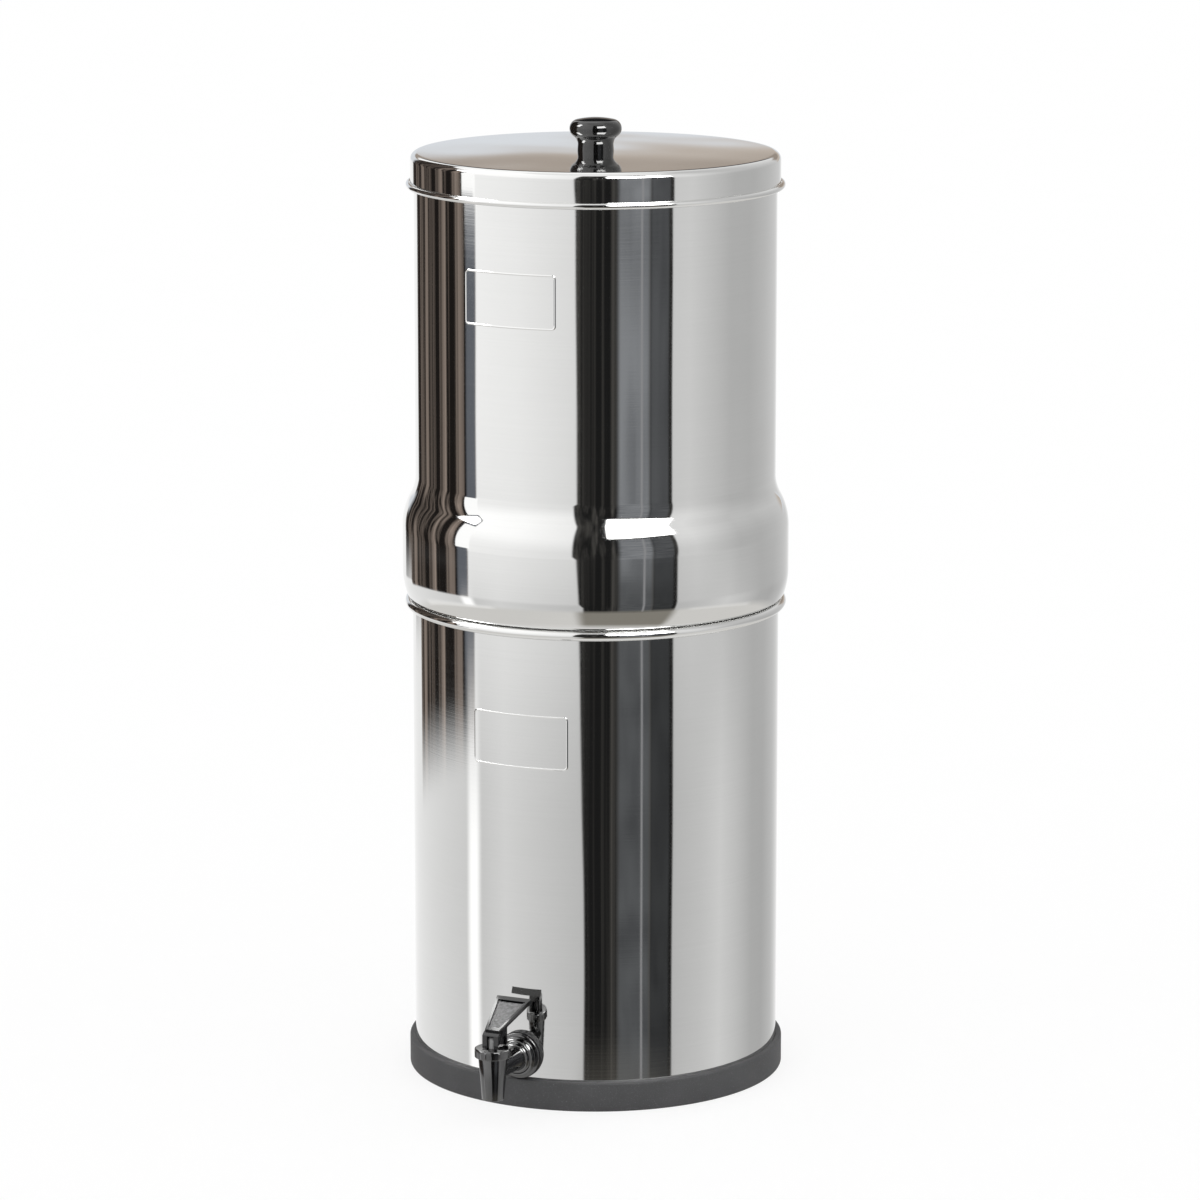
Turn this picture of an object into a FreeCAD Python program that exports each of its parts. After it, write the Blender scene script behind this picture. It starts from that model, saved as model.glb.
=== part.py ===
import FreeCAD, Part
import math
import os
from types import SimpleNamespace

import Sketcher
from FreeCAD import Placement, Rotation, Vector

# Gravity water filter with a tap: two stacked steel chambers, a lid, filter elements and a lever tap.
# Origin: centre of the base ring's underside. +Z is up, the tap points along -Y.

# Driving sizes in millimetres, angles in degrees
DIMENSIONS = {
    # Rubber ring under the lower chamber
    "ring_wall": 4.0,
    "ring_height": 20.3,
    "ring_floor": 4.0,
    "ring_floor_width": 15.0,
    "ring_bevel": 1.2,
    "ring_grip_gap": 0.1,
    # Sheet steel chambers
    "sheet": 0.8,
    "drum_radius": 127.0,
    "drum_corner": 6.0,
    "drum_bead_height": 327.8,
    "drum_bead_radius": 3.4,
    "drum_bead_overhang": 1.8,
    "stack_gap": 0.15,
    "neck_inset": 2.5,
    "foot_bulge": 9.3,
    "foot_heel_radius": 4.0,
    "foot_lower_radius": 50.0,
    "foot_lower_height": 19.2,
    "foot_upper_radius": 44.0,
    "foot_upper_height": 49.4,
    "foot_hollow_radius": 31.0,
    "spigot_gap": 1.2,
    "spigot_depth": 16.0,
    "spigot_corner": 5.0,
    "rim_height": 305.0,
    "hem_width": 1.3,
    "hem_height": 5.0,
    "hem_bevel": 1.9,
    # Lid and knob
    "lid_side_gap": 0.3,
    "lid_corner": 5.0,
    "lid_rise": 0.6,
    "skirt_drop": 17.0,
    "skirt_bead_radius": 2.1,
    "skirt_bead_overhang": 1.0,
    "knob_base_radius": 12.5,
    "knob_waist_radius": 12.2,
    "knob_waist_height": 4.6,
    "knob_flare_radius": 7.5,
    "knob_head_radius": 17.9,
    "knob_head_height": 16.0,
    "knob_shoulder_radius": 6.2,
    "knob_height": 22.6,
    "knob_crown_radius": 60.0,
    "knob_insert_depth": 12.0,
    "screw_radius": 2.0,
    "screw_hole_gap": 0.2,
    "screw_bite": 10.0,
    "screw_head_radius": 4.0,
    "screw_head_height": 2.6,
    "knob_washer_radius": 6.5,
    "knob_washer_thickness": 1.2,
    # Filter elements and the bottom they stand on
    "hole_margin": 53.0,
    "hole_radius": 6.6,
    "element_radius": 28.0,
    "element_height": 205.0,
    "element_edge": 8.0,
    "cap_radius": 26.5,
    "cap_height": 14.0,
    "cap_foot_radius": 15.0,
    "cap_foot_height": 5.0,
    "stem_radius": 6.0,
    "stem_bore": 3.2,
    "stem_length": 30.0,
    "seal_radius": 14.0,
    "seal_thickness": 3.0,
    "wing_hub_radius": 9.5,
    "wing_hub_height": 9.0,
    "wing_span": 44.0,
    "wing_height": 13.0,
    "wing_thickness": 3.6,
    "thread_gap": 0.1,
    "plug_head_radius": 11.0,
    "plug_head_height": 4.0,
    "plug_stem_radius": 5.5,
    "plug_stem_length": 14.0,
    "plug_nut_flats": 17.0,
    "plug_nut_height": 6.0,
    # Tap body
    "tap_axis_height": 37.0,
    "tap_hole_gap": 0.25,
    "spout_reach": 45.1,
    "spout_tip_height": 17.5,
    "spout_tip_radius": 7.5,
    "spout_top_height": 47.5,
    "spout_top_radius": 10.0,
    "spout_bore": 5.0,
    "valve_seat_height": 29.0,
    "valve_chamber_radius": 6.9,
    "spout_neck_radius": 9.2,
    "spout_neck_height": 3.2,
    "barrel_radius": 7.2,
    "barrel_root_radius": 8.8,
    "waterway_radius": 4.5,
    "flange_radius": 15.75,
    "flange_thickness": 2.4,
    "flange_step_radius": 13.6,
    "flange_step_thickness": 1.8,
    "flange_boss_radius": 11.2,
    "flange_boss_thickness": 2.0,
    "shank_radius": 8.0,
    "shank_inside": 24.0,
    "outer_washer_radius": 16.2,
    "outer_washer_thickness": 2.6,
    "inner_washer_radius": 14.5,
    "inner_washer_thickness": 2.8,
    "washer_press_gap": 0.05,
    "tap_nut_flats": 25.0,
    "tap_nut_thickness": 6.0,
    # Valve above the spout
    "bonnet_radius": 12.4,
    "bonnet_top_height": 53.8,
    "bonnet_roof": 2.4,
    "bonnet_bevel": 0.4,
    "bonnet_rib_count": 8,
    "bonnet_rib_width": 1.3,
    "bonnet_rib_proud": 0.5,
    "valve_stem_radius": 3.0,
    "valve_stem_gap": 0.1,
    "stem_flange_radius": 5.6,
    "stem_flange_thickness": 1.0,
    "stem_tongue_width": 4.6,
    "stem_travel": 4.2,
    "stem_top_above_pin": 3.0,
    "cup_radius": 6.2,
    "cup_height": 7.0,
    "cup_floor": 2.2,
    "cup_nose_radius": 4.4,
    "cup_nose_drop": 1.6,
    "cup_seat_gap": 0.05,
    "spring_radius": 4.4,
    "spring_wire": 0.9,
    "spring_turns": 3.5,
    "pin_radius": 1.2,
    "pin_height": 4.2,
    "pin_gap": 0.05,
    # Lever
    "lever_width": 11.8,
    "lever_slot_gap": 0.3,
    "lever_front": 4.2,
    "lever_back": 10.4,
    "lever_heel_radius": 0.8,
    "lever_seat_gap": 0.1,
    "lever_front_height": 9.0,
    "lever_roof_gap": 1.4,
    "lever_arch_depth": 1.0,
    "lever_arch_height": 7.4,
    "lever_arch_margin": 1.8,
    "paddle_start": 1.7,
    "paddle_start_height": 66.4,
    "paddle_tilt": 20.5,
    "paddle_length": 38.9,
    "paddle_narrow": 10.2,
    "paddle_wide": 25.2,
    "paddle_thickness": 3.2,
    "paddle_lip": 4.6,
    "paddle_lip_length": 2.4,
    "paddle_rim": 1.7,
    "paddle_recess": 0.9,
    "paddle_groove_width": 1.3,
    "paddle_groove_depth": 0.8,
}

# Holes on the circle that carry a filter element, and those that are plugged
HOLE_COUNT = 6
ELEMENT_HOLES = (0, 3)
PLUG_HOLES = (1, 2, 4, 5)

# Flats that stand for round stretches, few enough to keep the model light
BEAD_FACETS = 6
CORNER_FACETS = 1
BLOCK_FACETS = 2
SWEEP_FACETS = 2
LID_CORNER_FACETS = 2
CROWN_FACETS = 1
KNOB_FACETS = 2

doc = FreeCAD.newDocument("gravity_water_filter")
sheet = doc.addObject("Spreadsheet::Sheet", "sizes")
for row, (alias, number) in enumerate(DIMENSIONS.items(), start=1):
    sheet.set(f"A{row}", alias)
    sheet.set(f"B{row}", str(number))
    sheet.setAlias(f"B{row}", alias)
doc.recompute()


class Size:
    """A number together with the expression that binds it to the sheet."""

    def __init__(self, value, text):
        self.value = float(value)
        self.text = text

    def __add__(self, other):
        other = as_size(other)
        return Size(self.value + other.value, f"({self.text} + {other.text})")

    def __sub__(self, other):
        other = as_size(other)
        return Size(self.value - other.value, f"({self.text} - {other.text})")

    def __mul__(self, other):
        other = as_size(other)
        return Size(self.value * other.value, f"({self.text} * {other.text})")

    def __truediv__(self, other):
        other = as_size(other)
        return Size(self.value / other.value, f"({self.text} / {other.text})")

    def __rsub__(self, other):
        return as_size(other) - self

    def __rtruediv__(self, other):
        return as_size(other) / self

    def __neg__(self):
        return Size(-self.value, f"(0 - {self.text})")

    __radd__ = __add__
    __rmul__ = __mul__


def as_size(number):
    """Return a Size, also for a plain number."""
    return number if isinstance(number, Size) else Size(number, repr(float(number)))


def root(size):
    """Square root of a size."""
    return Size(math.sqrt(size.value), f"sqrt({size.text})")


def leg(hypotenuse, other_leg):
    """Second leg of a right triangle."""
    return root(hypotenuse * hypotenuse - other_leg * other_leg)


def cosine(degrees):
    """Cosine of a size or number in degrees."""
    degrees = as_size(degrees)
    return Size(math.cos(math.radians(degrees.value)), f"cos({degrees.text} * 1 deg)")


def sine(degrees):
    """Sine of a size or number in degrees."""
    degrees = as_size(degrees)
    return Size(math.sin(math.radians(degrees.value)), f"sin({degrees.text} * 1 deg)")


s = SimpleNamespace(**{alias: Size(sheet.get(alias), f"sizes.{alias}") for alias in DIMENSIONS})
pieces = []


def bind(obj, name, size):
    """Set a property from a size and keep it bound to the sheet."""
    obj.setExpression(name, as_size(size).text)


def place(obj, x=0, y=0, z=0):
    """Bind an object's place to sizes."""
    for letter, size in (("x", x), ("y", y), ("z", z)):
        bind(obj, f"Placement.Base.{letter}", size)


def new_body(name, x=0, y=0, z=0, group=None):
    """Start a sub-part as a body with its own label and place. A member of a group joins that list instead."""
    body = doc.addObject("PartDesign::Body", name)
    body.Label = name
    place(body, x, y, z)
    (pieces if group is None else group).append(body)
    return body


def origin_plane(body, role):
    """Return one of the body's own origin planes."""
    return next(plane for plane in body.Origin.OriginFeatures if plane.Role == role)


def new_sketch(body, name, role, shift=(0, 0, 0), tilt=None):
    """Attach an empty sketch to a plane of the body, shifted in that plane's own axes and tilted about its X."""
    sketch = body.newObject("Sketcher::SketchObject", f"{body.Name}_{name}_sketch")
    sketch.AttachmentSupport = [(origin_plane(body, role), "")]
    sketch.MapMode = "FlatFace"
    shift = [as_size(part) for part in shift]
    angle = as_size(0 if tilt is None else tilt)
    base = Vector(*(part.value for part in shift))
    sketch.AttachmentOffset = Placement(base, Rotation(Vector(1, 0, 0), angle.value))
    for letter, part in zip("xyz", shift):
        bind(sketch, f"AttachmentOffset.Base.{letter}", part)
    if tilt is not None:
        bind(sketch, "AttachmentOffset.Rotation.Angle", angle)
    return sketch


def pin_point(sketch, edge, end, across, up):
    """Hold one end of a sketch edge at two sizes from the sketch's origin."""
    for letter, size in (("X", across), ("Y", up)):
        size = as_size(size)
        index = sketch.addConstraint(
            Sketcher.Constraint(f"Distance{letter}", -1, 1, edge, end, size.value)
        )
        sketch.setExpression(f"Constraints[{index}]", size.text)


def arc_geometry(start, end, radius, turn):
    """Arc from start to end. The sign of turn is its sense, and a turn of 2 takes the long way round."""
    chord = end - start
    half = chord.Length / 2
    rise = math.sqrt(max(radius * radius - half * half, 0.0))
    left = Vector(-chord.y, chord.x, 0).normalize()
    side = (1 if turn > 0 else -1) * (-1 if abs(turn) == 2 else 1)
    centre = (start + end) / 2 + left * (rise * side)
    first, last = (start, end) if turn > 0 else (end, start)
    angles = [math.atan2(p.y - centre.y, p.x - centre.x) for p in (first, last)]
    return Part.ArcOfCircle(Part.Circle(centre, Vector(0, 0, 1), radius), *angles)


def add_line(sketch, start, end):
    """Add a straight edge and return its number."""
    return sketch.addGeometry(Part.LineSegment(start, end), False)


def add_facets(sketch, arc, arc_edge, start, turn, count):
    """Add equal chords along a construction arc, walked from start, and return the numbers of their edges."""
    centre, radius = arc.Center, arc.Radius
    sweep = (arc.LastParameter - arc.FirstParameter) * (1 if turn > 0 else -1)
    begin = math.atan2(start.y - centre.y, start.x - centre.x)
    angles = [begin + sweep * k / count for k in range(count + 1)]
    spots = [centre + Vector(radius * math.cos(a), radius * math.sin(a), 0) for a in angles]
    edges = [add_line(sketch, spots[k], spots[k + 1]) for k in range(count)]
    for before, after in zip(edges, edges[1:]):
        sketch.addConstraint(Sketcher.Constraint("Coincident", before, 2, after, 1))
        sketch.addConstraint(Sketcher.Constraint("PointOnObject", before, 2, arc_edge))
        sketch.addConstraint(Sketcher.Constraint("Equal", before, after))
    return edges


def draw_outline(sketch, corners):
    """Close an outline through corners given as (across, up), each the end of a straight edge.

    (across, up, radius, turn) ends an arc, and a fifth value makes that many equal facets of the arc.
    """
    points = [Vector(as_size(c[0]).value, as_size(c[1]).value, 0) for c in corners]
    starts, ends = [], []
    for index, corner in enumerate(corners):
        start, end = points[index - 1], points[index]
        if len(corner) == 2:
            edge = add_line(sketch, start, end)
            starts.append((edge, 1))
            ends.append((edge, 2))
            continue
        radius, turn = as_size(corner[2]), corner[3]
        facets = corner[4] if len(corner) == 5 else 0
        arc = arc_geometry(start, end, radius.value, turn)
        edge = sketch.addGeometry(arc, bool(facets))
        constraint = sketch.addConstraint(Sketcher.Constraint("Radius", edge, radius.value))
        sketch.setExpression(f"Constraints[{constraint}]", radius.text)
        near, far = (1, 2) if turn > 0 else (2, 1)
        if facets:
            chords = add_facets(sketch, arc, edge, start, turn, facets)
            sketch.addConstraint(Sketcher.Constraint("Coincident", edge, near, chords[0], 1))
            sketch.addConstraint(Sketcher.Constraint("Coincident", edge, far, chords[-1], 2))
        starts.append((edge, near))
        ends.append((edge, far))
    for index, corner in enumerate(corners):
        joined = (index + 1) % len(corners)
        sketch.addConstraint(Sketcher.Constraint("Coincident", *ends[index], *starts[joined]))
        pin_point(sketch, *ends[index], corner[0], corner[1])


def draw_circle(sketch, across, up, radius):
    """Add a circle with its centre and radius bound."""
    across, up, radius = as_size(across), as_size(up), as_size(radius)
    circle = Part.Circle(Vector(across.value, up.value, 0), Vector(0, 0, 1), radius.value)
    edge = sketch.addGeometry(circle, False)
    index = sketch.addConstraint(Sketcher.Constraint("Radius", edge, radius.value))
    sketch.setExpression(f"Constraints[{index}]", radius.text)
    pin_point(sketch, edge, 3, across, up)


def turn_feature(body, name, sketch, axis="V_Axis", cut=False):
    """Revolve a sketch about one of its own axes, as material or as a groove."""
    kind = "PartDesign::Groove" if cut else "PartDesign::Revolution"
    feature = body.newObject(kind, f"{body.Name}_{name}")
    feature.Profile = sketch
    feature.ReferenceAxis = (sketch, [axis])
    feature.Angle = 360
    return feature


def turned(body, name, corners, cut=False):
    """Revolve an outline of (radius, height) corners about the body's own Z axis."""
    sketch = new_sketch(body, name, "XZ_Plane")
    draw_outline(sketch, corners)
    return turn_feature(body, name, sketch, cut=cut)


def turned_level(body, name, height, corners, cut=False):
    """Revolve an outline of (Y, radius) corners about a level axis along Y."""
    sketch = new_sketch(body, name, "YZ_Plane", shift=(0, height, 0))
    draw_outline(sketch, corners)
    return turn_feature(body, name, sketch, axis="H_Axis", cut=cut)


def extruded(body, name, sketch, length, cut=False, symmetric=False, backwards=False):
    """Pad or pocket a sketch by a bound length."""
    kind = "PartDesign::Pocket" if cut else "PartDesign::Pad"
    feature = body.newObject(kind, f"{body.Name}_{name}")
    feature.Profile = sketch
    feature.SideType = "Symmetric" if symmetric else "One side"
    feature.Reversed = backwards
    bind(feature, "Length", length)
    return feature


def box_corners(low_across, low_up, high_across, high_up):
    """Corners of an upright rectangle, anticlockwise."""
    return [
        (low_across, low_up),
        (high_across, low_up),
        (high_across, high_up),
        (low_across, high_up),
    ]


def hexagon_corners(flats):
    """Corners of a hexagon of the given size across its flats."""
    reach = flats / (2 * cosine(30))
    return [(reach * cosine(60 * k), reach * sine(60 * k)) for k in range(6)]


# Heights and radii shared between pieces
ring_radius = s.drum_radius + s.ring_wall
drum_inside = s.drum_radius - s.sheet
neck_radius = s.drum_radius - s.neck_inset
foot_radius = neck_radius + s.foot_bulge
drum_top = s.ring_floor + s.drum_bead_height + s.drum_bead_radius
shoulder_height = drum_top + s.stack_gap
spigot_radius = drum_inside - s.spigot_gap
hole_circle = spigot_radius - s.hole_margin
upper_floor = shoulder_height - s.spigot_depth + s.sheet
hem_radius = neck_radius + s.hem_width
skirt_inside = hem_radius + s.lid_side_gap
skirt_outside = skirt_inside + s.sheet
lid_height = shoulder_height + s.rim_height - s.hem_bevel
lid_top = s.lid_corner + s.lid_rise
spout_axis = -(s.drum_radius + s.spout_reach)
flange_back = s.spout_reach - s.outer_washer_thickness
lever_foot = s.bonnet_top_height + s.lever_seat_gap
pin_level = s.bonnet_top_height + s.pin_height


def build_base_ring():
    """Rubber ring: an L section that the drum stands in."""
    body = new_body("base_ring")
    inside = s.drum_radius + s.ring_grip_gap
    corners = [
        (ring_radius - s.ring_floor_width - s.ring_floor, 0),
        (ring_radius - s.ring_bevel, 0),
        (ring_radius, s.ring_bevel),
        (ring_radius, s.ring_height - s.ring_bevel),
        (ring_radius - s.ring_bevel, s.ring_height),
        (inside, s.ring_height),
        (inside, s.ring_floor),
        (ring_radius - s.ring_floor_width - s.ring_floor, s.ring_floor),
    ]
    turned(body, "section", corners)


def build_lower_chamber():
    """Deep drawn drum with a rolled bead at the rim and one hole for the tap."""
    body = new_body("lower_chamber", z=s.ring_floor)
    bead_centre = s.drum_radius + s.drum_bead_overhang
    inner_rise = leg(s.drum_bead_radius, bead_centre - drum_inside)
    outer_drop = leg(s.drum_bead_radius, s.drum_bead_overhang)
    corners = [
        (0, 0),
        (s.drum_radius - s.drum_corner, 0),
        (s.drum_radius, s.drum_corner, s.drum_corner, 1, CORNER_FACETS),
        (s.drum_radius, s.drum_bead_height - outer_drop),
        (drum_inside, s.drum_bead_height + inner_rise, s.drum_bead_radius, 2, BEAD_FACETS),
        (drum_inside, s.drum_corner),
        (s.drum_radius - s.drum_corner, s.sheet, s.drum_corner - s.sheet, -1, CORNER_FACETS),
        (0, s.sheet),
    ]
    turned(body, "shell", corners)
    hole = new_sketch(body, "tap_hole", "XZ_Plane")
    height = s.tap_axis_height - s.ring_floor
    draw_circle(hole, 0, height, s.shank_radius + s.tap_hole_gap)
    extruded(body, "tap_hole", hole, s.drum_radius + s.drum_bead_radius, cut=True, backwards=True)


def shell_edge(offset):
    """Right hand side of the upper chamber's section, offset inwards, from its bottom to just below the hem.

    Arcs that bulge outwards shrink by the offset and the hollow one grows, so the sheet keeps its thickness.
    """
    heel = s.foot_heel_radius - offset
    lower = s.foot_lower_radius - offset
    upper = s.foot_upper_radius - offset
    hollow = s.foot_hollow_radius + offset
    between = s.foot_lower_radius - s.foot_heel_radius
    lower_across = foot_radius - s.foot_lower_radius
    heel_across = lower_across + leg(between, s.foot_lower_height - s.foot_heel_radius)
    lean_across = (heel_across - lower_across) / between
    lean_up = (s.foot_heel_radius - s.foot_lower_height) / between
    upper_across = foot_radius - s.foot_upper_radius
    hollow_across = neck_radius + s.foot_hollow_radius
    reach = s.foot_upper_radius + s.foot_hollow_radius
    rise = leg(reach, hollow_across - upper_across)
    swing_across = (hollow_across - upper_across) / reach
    swing_up = rise / reach
    spigot = spigot_radius - offset
    corner = s.spigot_corner
    heel_end = (heel_across + heel * lean_across, s.foot_heel_radius + heel * lean_up)
    swing_end = (upper_across + upper * swing_across, s.foot_upper_height + upper * swing_up)
    return [
        (0, offset - s.spigot_depth),
        (spigot_radius - corner, offset - s.spigot_depth),
        (spigot, corner - s.spigot_depth, corner - offset, 1, CORNER_FACETS),
        (spigot, offset),
        (heel_across, offset),
        (*heel_end, heel, 1, CORNER_FACETS),
        (foot_radius - offset, s.foot_lower_height, lower, 1, CORNER_FACETS),
        (foot_radius - offset, s.foot_upper_height),
        (*swing_end, upper, 1, SWEEP_FACETS),
        (neck_radius - offset, s.foot_upper_height + rise, hollow, -1, SWEEP_FACETS),
    ]


def reverse_walk(corners):
    """The same run of corners walked the other way, with each arc's data moved to its other end."""
    walked = []
    for index in range(len(corners) - 1, -1, -1):
        following = corners[index + 1] if index + 1 < len(corners) else ()
        arc = (following[2], -following[3], *following[4:]) if len(following) > 2 else ()
        walked.append(corners[index][:2] + arc)
    return walked


def build_upper_chamber():
    """Drum with a bulged foot that stands on the lower rim, a folded hem and a ring of holes in its bottom."""
    body = new_body("upper_chamber", z=shoulder_height)
    hem = [
        (neck_radius, s.rim_height - s.hem_height),
        (hem_radius, s.rim_height - s.hem_height),
        (hem_radius, s.rim_height - s.hem_bevel),
        (hem_radius - s.hem_bevel, s.rim_height),
        (neck_radius - s.sheet, s.rim_height),
    ]
    turned(body, "shell", shell_edge(0) + hem + reverse_walk(shell_edge(s.sheet)))
    first = new_sketch(body, "hole", "XY_Plane", shift=(0, 0, -s.spigot_depth))
    draw_circle(first, hole_circle, 0, s.hole_radius)
    drilled = extruded(body, "hole", first, 2 * s.sheet, cut=True, symmetric=True)
    doc.recompute()
    ring = body.newObject("PartDesign::PolarPattern", "upper_chamber_holes")
    ring.Originals = [drilled]
    ring.Axis = (first, ["N_Axis"])
    ring.Angle = 360
    ring.Occurrences = HOLE_COUNT
    body.Tip = ring


def build_lid():
    """Lid: shallow crown, rounded corner, straight skirt and a rolled bead."""
    body = new_body("lid", z=lid_height)
    bead_centre = skirt_outside + s.skirt_bead_overhang
    outer_rise = leg(s.skirt_bead_radius, s.skirt_bead_overhang)
    inner_drop = leg(s.skirt_bead_radius, bead_centre - skirt_inside)
    flat = skirt_outside - s.lid_corner
    inner_corner = s.lid_corner - s.sheet
    hole = s.screw_radius + s.screw_hole_gap
    crown = crown_radius(flat, s.lid_rise)
    hole_drop = crown - leg(crown, hole)
    corners = [
        (skirt_outside, 0),
        (flat, s.lid_corner, s.lid_corner, 1, LID_CORNER_FACETS),
        (hole, lid_top - hole_drop, crown, 1, CROWN_FACETS),
        (hole, lid_top - hole_drop - s.sheet),
        (flat, inner_corner, crown, -1, CROWN_FACETS),
        (skirt_inside, 0, inner_corner, -1, LID_CORNER_FACETS),
        (skirt_inside, -s.skirt_drop - inner_drop),
        (skirt_outside, outer_rise - s.skirt_drop, s.skirt_bead_radius, 2, BEAD_FACETS),
    ]
    turned(body, "shell", corners)


def crown_radius(half_width, rise):
    """Radius of a crown that rises by a given height over a half width."""
    return (half_width * half_width + rise * rise) / (2 * rise)


def build_lid_knob():
    """Mushroom knob with a waist and a blind hole for its screw."""
    body = new_body("lid_knob", z=lid_height + lid_top)
    insert = s.screw_radius + s.thread_gap
    head_start = s.knob_head_height - s.knob_shoulder_radius
    shoulder_across = s.knob_head_radius - s.knob_shoulder_radius
    crown_centre = s.knob_height - s.knob_crown_radius
    between = s.knob_crown_radius - s.knob_shoulder_radius
    shoulder_up = crown_centre + leg(between, shoulder_across)
    lean_across = shoulder_across / between
    lean_up = (shoulder_up - crown_centre) / between
    shoulder_end = (
        shoulder_across + s.knob_shoulder_radius * lean_across,
        shoulder_up + s.knob_shoulder_radius * lean_up,
    )
    flare_across = s.knob_head_radius - s.knob_shoulder_radius / 2
    corners = [
        (insert, 0),
        (s.knob_base_radius, 0),
        (s.knob_waist_radius, s.knob_waist_height),
        (flare_across, head_start, s.knob_flare_radius, -1, KNOB_FACETS),
        (s.knob_head_radius, shoulder_up, s.knob_shoulder_radius, 1, KNOB_FACETS),
        (*shoulder_end, s.knob_shoulder_radius, 1, KNOB_FACETS),
        (0, s.knob_height, s.knob_crown_radius, 1, CROWN_FACETS),
        (0, s.knob_insert_depth),
        (insert, s.knob_insert_depth),
    ]
    turned(body, "section", corners)


def build_knob_fixing():
    """Pan head screw and washer that hold the knob from inside the lid."""
    bore = s.screw_radius + s.screw_hole_gap
    crown_slope = s.lid_rise / (skirt_outside - s.lid_corner - bore)
    crown_fall = crown_slope * (s.knob_washer_radius - bore)
    underside = lid_height + lid_top - s.sheet - crown_fall - s.washer_press_gap
    washer = new_body("knob_washer", z=underside - s.knob_washer_thickness)
    turned(washer, "ring", box_corners(bore, 0, s.knob_washer_radius, s.knob_washer_thickness))
    screw = new_body("knob_screw", z=underside - s.knob_washer_thickness)
    length = s.knob_washer_thickness + s.washer_press_gap + s.sheet + s.screw_bite
    corners = [
        (0, -s.screw_head_height),
        (s.screw_head_radius - s.screw_head_height / 3, -s.screw_head_height),
        (s.screw_head_radius, -s.screw_head_height / 2),
        (s.screw_head_radius, 0),
        (s.screw_radius, 0),
        (s.screw_radius, length),
        (0, length),
    ]
    turned(screw, "section", corners)


def build_element(number, hole, seals, nuts):
    """One filter element: block and end cap with hollow stem. Its seal and wing nut go into the lists."""
    angle = hole * 360 / HOLE_COUNT
    across = hole_circle * cosine(angle)
    along = hole_circle * sine(angle)
    cap_level = upper_floor + s.seal_thickness
    block_level = cap_level + s.cap_foot_height + s.cap_height

    block = new_body(f"filter_block_{number}", across, along, block_level)
    edge = s.element_edge
    corners = [
        (0, 0),
        (s.element_radius, 0),
        (s.element_radius, s.element_height - edge),
        (s.element_radius - edge, s.element_height, edge, 1, BLOCK_FACETS),
        (0, s.element_height),
    ]
    turned(block, "section", corners)

    base = new_body(f"filter_base_{number}", across, along, cap_level)
    corners = [
        (s.stem_bore, -s.stem_length),
        (s.stem_radius, -s.stem_length),
        (s.stem_radius, 0),
        (s.cap_foot_radius, 0),
        (s.cap_foot_radius, s.cap_foot_height),
        (s.cap_radius, s.cap_foot_height),
        (s.cap_radius, s.cap_foot_height + s.cap_height),
        (s.stem_bore, s.cap_foot_height + s.cap_height),
    ]
    turned(base, "section", corners)

    seal = new_body(f"seal_{number}", across, along, upper_floor, group=seals)
    bore = s.stem_radius + s.thread_gap
    turned(seal, "ring", box_corners(bore, 0, s.seal_radius, s.seal_thickness))

    nut = new_body(f"wing_nut_{number}", across, along, upper_floor - s.sheet, group=nuts)
    turned(nut, "hub", box_corners(0, -s.wing_hub_height, s.wing_hub_radius, 0))
    wings = new_sketch(nut, "wings", "XZ_Plane")
    half_span = s.wing_span / 2
    half_hub = s.wing_hub_radius / 2
    ear = s.wing_hub_height / 3
    corners = [
        (half_hub, -ear),
        (half_span - ear, -ear),
        (half_span, -2 * ear),
        (half_span, -s.wing_height),
        (half_hub + s.wing_hub_radius, -s.wing_height),
        (s.wing_hub_radius, -s.wing_hub_height),
        (-s.wing_hub_radius, -s.wing_hub_height),
        (-half_hub - s.wing_hub_radius, -s.wing_height),
        (-half_span, -s.wing_height),
        (-half_span, -2 * ear),
        (ear - half_span, -ear),
        (-half_hub, -ear),
    ]
    draw_outline(wings, corners)
    extruded(nut, "wings", wings, s.wing_thickness, symmetric=True)
    thread = new_sketch(nut, "thread", "XY_Plane")
    draw_circle(thread, 0, 0, s.stem_radius + s.thread_gap)
    extruded(nut, "thread", thread, 2 * s.wing_hub_height, cut=True, symmetric=True)


def grouped(name, members):
    """Identical small pieces that share one node, as separate solids."""
    group = doc.addObject("Part::Compound", name)
    group.Label = name
    group.Links = members
    pieces.append(group)


def cylinder(name, radius, length, x=0, y=0, z=0, rotation=None):
    """Round bar with its radius, length and place bound."""
    bar = doc.addObject("Part::Cylinder", name)
    bind(bar, "Radius", radius)
    bind(bar, "Height", length)
    if rotation is not None:
        bar.Placement = Placement(Vector(), rotation)
    place(bar, x, y, z)
    return bar


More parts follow.
